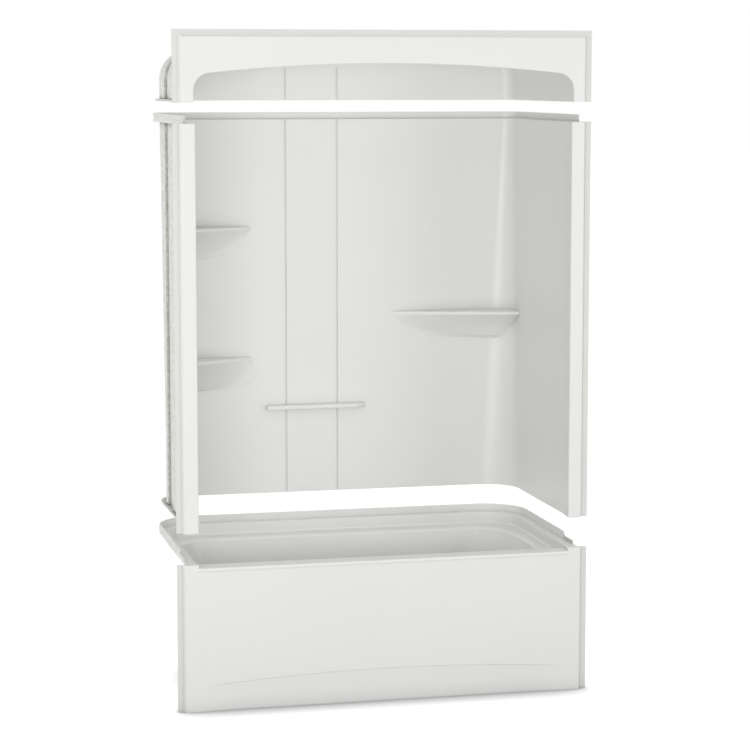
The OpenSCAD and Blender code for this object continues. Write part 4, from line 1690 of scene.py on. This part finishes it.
@dataclass
class Header(Section):
    """Arched front with its sunk border, domed top and lap flange."""

    height: float = 254.0
    arch: Arch = Arch(690.0, 136.0, 6015.0, 60.0, 4)
    arch_steps: tuple[Flat, ...] = ((4.0, 0.0), (2.2, 0.4), (0.8, 1.5), (0.1, 3.2), (0.0, 4.4), (0.0, 6.0))
    dome_start: float = 78.0
    dome_radius: float = 110.0
    dome_back_start: float = 128.0
    corner_growth: float = 0.3
    lap: float = 22.0
    faces: tuple[Point, ...] = ((762.0, 254.0, 25.0), (762.0, 254.0, 20.2), (761.0, 253.0, 19.0),
                                (743.2, 239.7, 19.0), (741.4, 237.9, 17.6), (734.3, 230.8, 5.6),
                                (733.7, 230.2, 3.4), (732.6, 229.1, 1.6), (731.0, 227.5, 0.4),
                                (729.0, 225.5, 0.0))
    inner_faces: tuple[Point, ...] = ((728.0, 219.5, 6.0), (737.0, 233.5, 25.0))
    foot_plate: tuple[Flat, ...] = ((690.2, 6.0), (727.6, 6.0), (736.6, 25.0), (690.2, 25.0))

    def fascia(self, mould: Mould) -> None:
        """Adds the flange, the sunk border, the raised face and the arch's rounded edge.

        Args:
            mould: the piece it is added to.
        """
        rows = [upright(self.arch.frame(half, top), y) for half, top, y in self.faces]
        rows += [upright(self.arch.line(out), y) for out, y in self.arch_steps]
        shown = len(rows)
        rows += [upright(self.arch.frame(half, top), y) for half, top, y in self.inner_faces]
        sides = [Side.TRIM] * 3 + [Side.SHOW] * (shown - 4) + [Side.BACK] * (len(rows) - shown + 1)
        mould.sweep(rows, sides)

    def feet(self, mould: Mould) -> None:
        """Adds the plates that close the posts at the foot.

        Args:
            mould: the piece it is added to.
        """
        since = mould.so_far()
        mould.prism(list(self.foot_plate), 0.0, self.skin)
        mould.mirror(since)

    def dome_rows(self, out: float) -> list[Row]:
        """Rows of one face of the dome from the foot to the roof.

        Args:
            out: 0 for the inside, the skin for the outside.

        Returns:
            The rows.
        """
        turn, radius = self.bay.high_turn, self.dome_radius + out
        levels = [(out, turn, z) for z in spaced(0.0, self.dome_start, 5)[:-1]]
        for s, c in turned(0.0, 90.0, 16):
            inwards = radius * (1 - c)
            levels.append((out - inwards, turn + inwards + self.corner_growth * inwards,
                           self.dome_start + radius * s))
        rear_radius = self.dome_start + self.dome_radius - self.dome_back_start + out
        rows = []
        for reach, corner, z in levels:
            rise = min(max(0.0, z - self.dome_back_start), rear_radius)
            rear = out - rear_radius + math.sqrt(rear_radius ** 2 - rise ** 2)
            groove = 1.0 if out == 0 and z < self.dome_back_start else 0.0
            rows.append(level(self.bay.path(reach, corner, self.skin, groove, rear), z))
        return rows

    def dome(self, mould: Mould) -> None:
        """Adds the domed walls and the roof as one skin, open at the foot and shut at the front.

        Args:
            mould: the piece it is added to.
        """
        inner, outer = self.dome_rows(0.0), self.dome_rows(self.skin)
        a = mould.strip(inner, [Side.SHOW] * len(inner), False)
        b = mould.strip(outer, [Side.BACK] * len(outer), False)
        mould.face(a[-1], Side.SHOW)
        mould.face(b[-1][::-1], Side.BACK)
        for i in range(len(a[0]) - 1):
            mould.face([a[0][i], a[0][i + 1], b[0][i + 1], b[0][i]], Side.SHOW)
        for end in (0, -1):
            for k in range(len(a) - 1):
                mould.face([a[k][end], a[k + 1][end], b[k + 1][end], b[k][end]], Side.SHOW)
        mould.face([a[-1][0], a[-1][-1], b[-1][-1], b[-1][0]], Side.SHOW)

    def build(self) -> Piece:
        """Builds the header shell and returns it.

        Returns:
            The shell.
        """
        mould = Mould(self.foot)
        self.fascia(mould)
        self.feet(mould)
        self.dome(mould)
        self.lap_flange(mould, self.bay.high_turn)
        return self.fit(self.shell(mould, "header_moulding"), Slot.ACRYLIC, "header_shell")


# ---- CAD nodes that stay


@dataclass(frozen=True)
class BackingParts:
    """CAD nodes that stay as they are, with a finish and softened edges."""

    slots: tuple[tuple[Slot, float, tuple[str, ...]], ...] = (
        (Slot.FIBREGLASS, 3.0, ("left_front_board", "left_rear_board", "right_front_board",
                                "right_rear_board", "header_left_front_rib", "header_left_rear_rib",
                                "header_right_front_rib", "header_right_rear_rib")),
        (Slot.BOARD, 1.2, ("floor_board", "apron_board", "back_left_board", "back_right_board",
                           "bar_backing_board", "fascia_board", "roof_board")),
        (Slot.TIMBER, 1.5, ("front_bearer", "middle_bearer", "back_bearer", "rim_rail")),
        (Slot.STEEL, 0.3, ("bar_studs", "bar_washers", "bar_nuts")),
        (Slot.FOAM, 0.6, ("wall_seal", "header_seal")))

    def dress(self, frame: dict, finishes: Finishes) -> None:
        """Gives each node its material and rounded edges.

        Args:
            frame: the loaded frame.
            finishes: the finishes.
        """
        for slot, soft, names in self.slots:
            for name in names:
                node = frame["nodes"][name]
                node.data.materials.clear()
                node.data.materials.append(finishes.of(slot))
                bevel = node.modifiers.new("softened", "BEVEL")
                bevel.width = soft * MM
                bevel.segments = 2
                bevel.limit_method = "ANGLE"
                bevel.angle_limit = BEVEL_ABOVE
                LOG.info("%s: CAD node in %s", name, slot.value)


# ---- studio


@dataclass(frozen=True)
class Lamp:
    """One soft box."""

    name: str
    place: Point
    aim: Point
    size: Flat
    watts: float

    def hang(self) -> None:
        """Hangs the lamp, out of the camera's sight."""
        data = bpy.data.lights.new(self.name, "AREA")
        data.shape = "RECTANGLE"
        data.size, data.size_y = self.size
        data.energy = self.watts
        piece = placed(self.name, data)
        piece.location = self.place
        piece.rotation_euler = (Vector(self.aim) - Vector(self.place)).to_track_quat("-Z", "Y").to_euler()
        piece.visible_camera = False


@dataclass(frozen=True)
class Studio:
    """Pale floor, soft light and the photograph's camera."""

    eye: Point = (-2.04199, -8.72908, 2.25408)
    tilt: float = 82.94
    turn: float = -13.50
    lens: float = 115.85
    far: float = 200.0
    sky: float = 0.525
    near: Point = (1.0, 1.7, 0.0)
    near_ends: Flat = (1.0, 2.6)
    floor_radius: float = 60.0
    floor_steps: int = 96
    floor_tones: Flat = (0.46, 0.78)
    floor_glows: Flat = (0.9, 0.7)
    floor_rough: Flat = (0.7, 0.8)
    mottle: Flat = (3.0, 3.0)
    mottle_ends: Flat = (0.98, 1.0)
    # Reaches and ranges of the painted shadow on the floor, a broad one and one at the contact.
    shadow_reach: float = 0.2
    shadow: tuple[float, ...] = (0.1, 1.0, 0.45, 0.93)
    contact_shadow_reach: float = 0.03
    contact_shadow: tuple[float, ...] = (0.4, 1.0, 0.5, 0.97)
    lamps: tuple[Lamp, ...] = (
        Lamp("eye_box", (-2.6, -8.0, 1.9), (0.0, 0.0, 1.4), (3.4, 1.4), 167.0),
        Lamp("low_box", (-2.0, -6.5, 0.5), (0.0, 0.0, 0.5), (3.4, 0.8), 34.0),
        Lamp("right_box", (4.5, -7.0, 1.8), (0.0, 0.0, 1.2), (2.6, 2.6), 78.0),
        Lamp("left_box", (-6.0, 0.9, 1.3), (0.0, 0.2, 1.2), (2.4, 2.8), 70.0))

    def floor(self) -> None:
        """Makes the floor, which shows white to the camera and keeps the object's shadow: partly real shadow
        from the lamps and partly painted shadow, as its glow to the camera is dimmed where the surroundings
        close in.
        """
        recipe = Recipe("pale_floor")
        reach = recipe.node("VectorMath", {0: recipe.stretched(self.near)})
        reach.operation = "LENGTH"
        away = recipe.spread(reach.outputs["Value"], 0.0, 1.0, *self.near_ends)
        mottle = recipe.spread(recipe.noise(*self.mottle), *self.mottle_ends)
        # The floor's colour is darker near the object, where it deepens the shadow round the foot, and its
        # glow is stronger there.
        tone = recipe.combined("MULTIPLY", recipe.spread(away, *self.floor_tones), mottle)
        # Painted shadow: the glow is dimmed where the floor's surroundings close in.
        shadow = recipe.spread(recipe.openness(self.shadow_reach, FLOOR_RAYS), *self.shadow)
        contact_shadow = recipe.spread(recipe.openness(self.contact_shadow_reach, FLOOR_RAYS), *self.contact_shadow)
        light = recipe.combined("MULTIPLY", shadow, contact_shadow)
        glow = recipe.combined("MULTIPLY", recipe.spread(away, *self.floor_glows), light)
        recipe.fill(recipe.shader, {
            "Base Color": tone, "Roughness": recipe.spread(mottle, *self.floor_rough, *self.mottle_ends),
            "Specular IOR Level": 0.0, "Emission Color": WHITE,
            "Emission Strength": recipe.combined("MULTIPLY", recipe.white_rays(), glow)})
        shop = bmesh.new()
        bmesh.ops.create_circle(shop, cap_ends=True, segments=self.floor_steps, radius=self.floor_radius)
        mesh = written(shop, "studio_floor")
        mesh.materials.append(recipe.material)
        placed("studio_floor", mesh)

    def world(self) -> None:
        """Lights the scene evenly and shows white behind the object."""
        world = bpy.data.worlds.new("studio_world")
        bpy.context.scene.world = world
        world.use_nodes = True
        wiring = Wiring(world.node_tree)
        even = wiring.nodes["Background"]
        wiring.fill(even, {"Color": WHITE, "Strength": self.sky})
        white = wiring.node("Background", {"Color": WHITE, "Strength": 1.0})
        seen = wiring.white_rays()
        seen.node.use_clamp = True
        mix = wiring.node("MixShader", {0: seen, 1: even.outputs[0], 2: white.outputs[0]})
        wiring.fill(wiring.nodes["World Output"], {"Surface": mix.outputs[0]})

    def camera(self) -> None:
        """Sets the camera at the photograph's viewpoint."""
        data = bpy.data.cameras.new("photo_camera")
        data.lens = self.lens
        data.clip_end = self.far
        piece = placed("photo_camera", data)
        piece.location = self.eye
        piece.rotation_euler = Euler((math.radians(self.tilt), 0.0, math.radians(self.turn)))
        bpy.context.scene.camera = piece

    def build(self) -> None:
        """Makes the whole studio."""
        bpy.context.scene.view_settings.view_transform = "Standard"
        self.floor()
        self.world()
        for lamp in self.lamps:
            lamp.hang()
        self.camera()


def main() -> None:
    """Builds every section round the frame, then the studio."""
    logging.basicConfig(level=logging.INFO, format="%(message)s", stream=sys.stdout)
    for thing in list(bpy.data.objects):
        bpy.data.objects.remove(thing)
    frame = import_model()
    finishes = Finishes()
    Tub(finishes, 0.0, "tub").build()
    WallSection(finishes, 645.0, "wall_section").build()
    Header(finishes, 2162.0, "header").build()
    BackingParts().dress(frame, finishes)
    Studio().build()


if __name__ == "__main__":
    main()
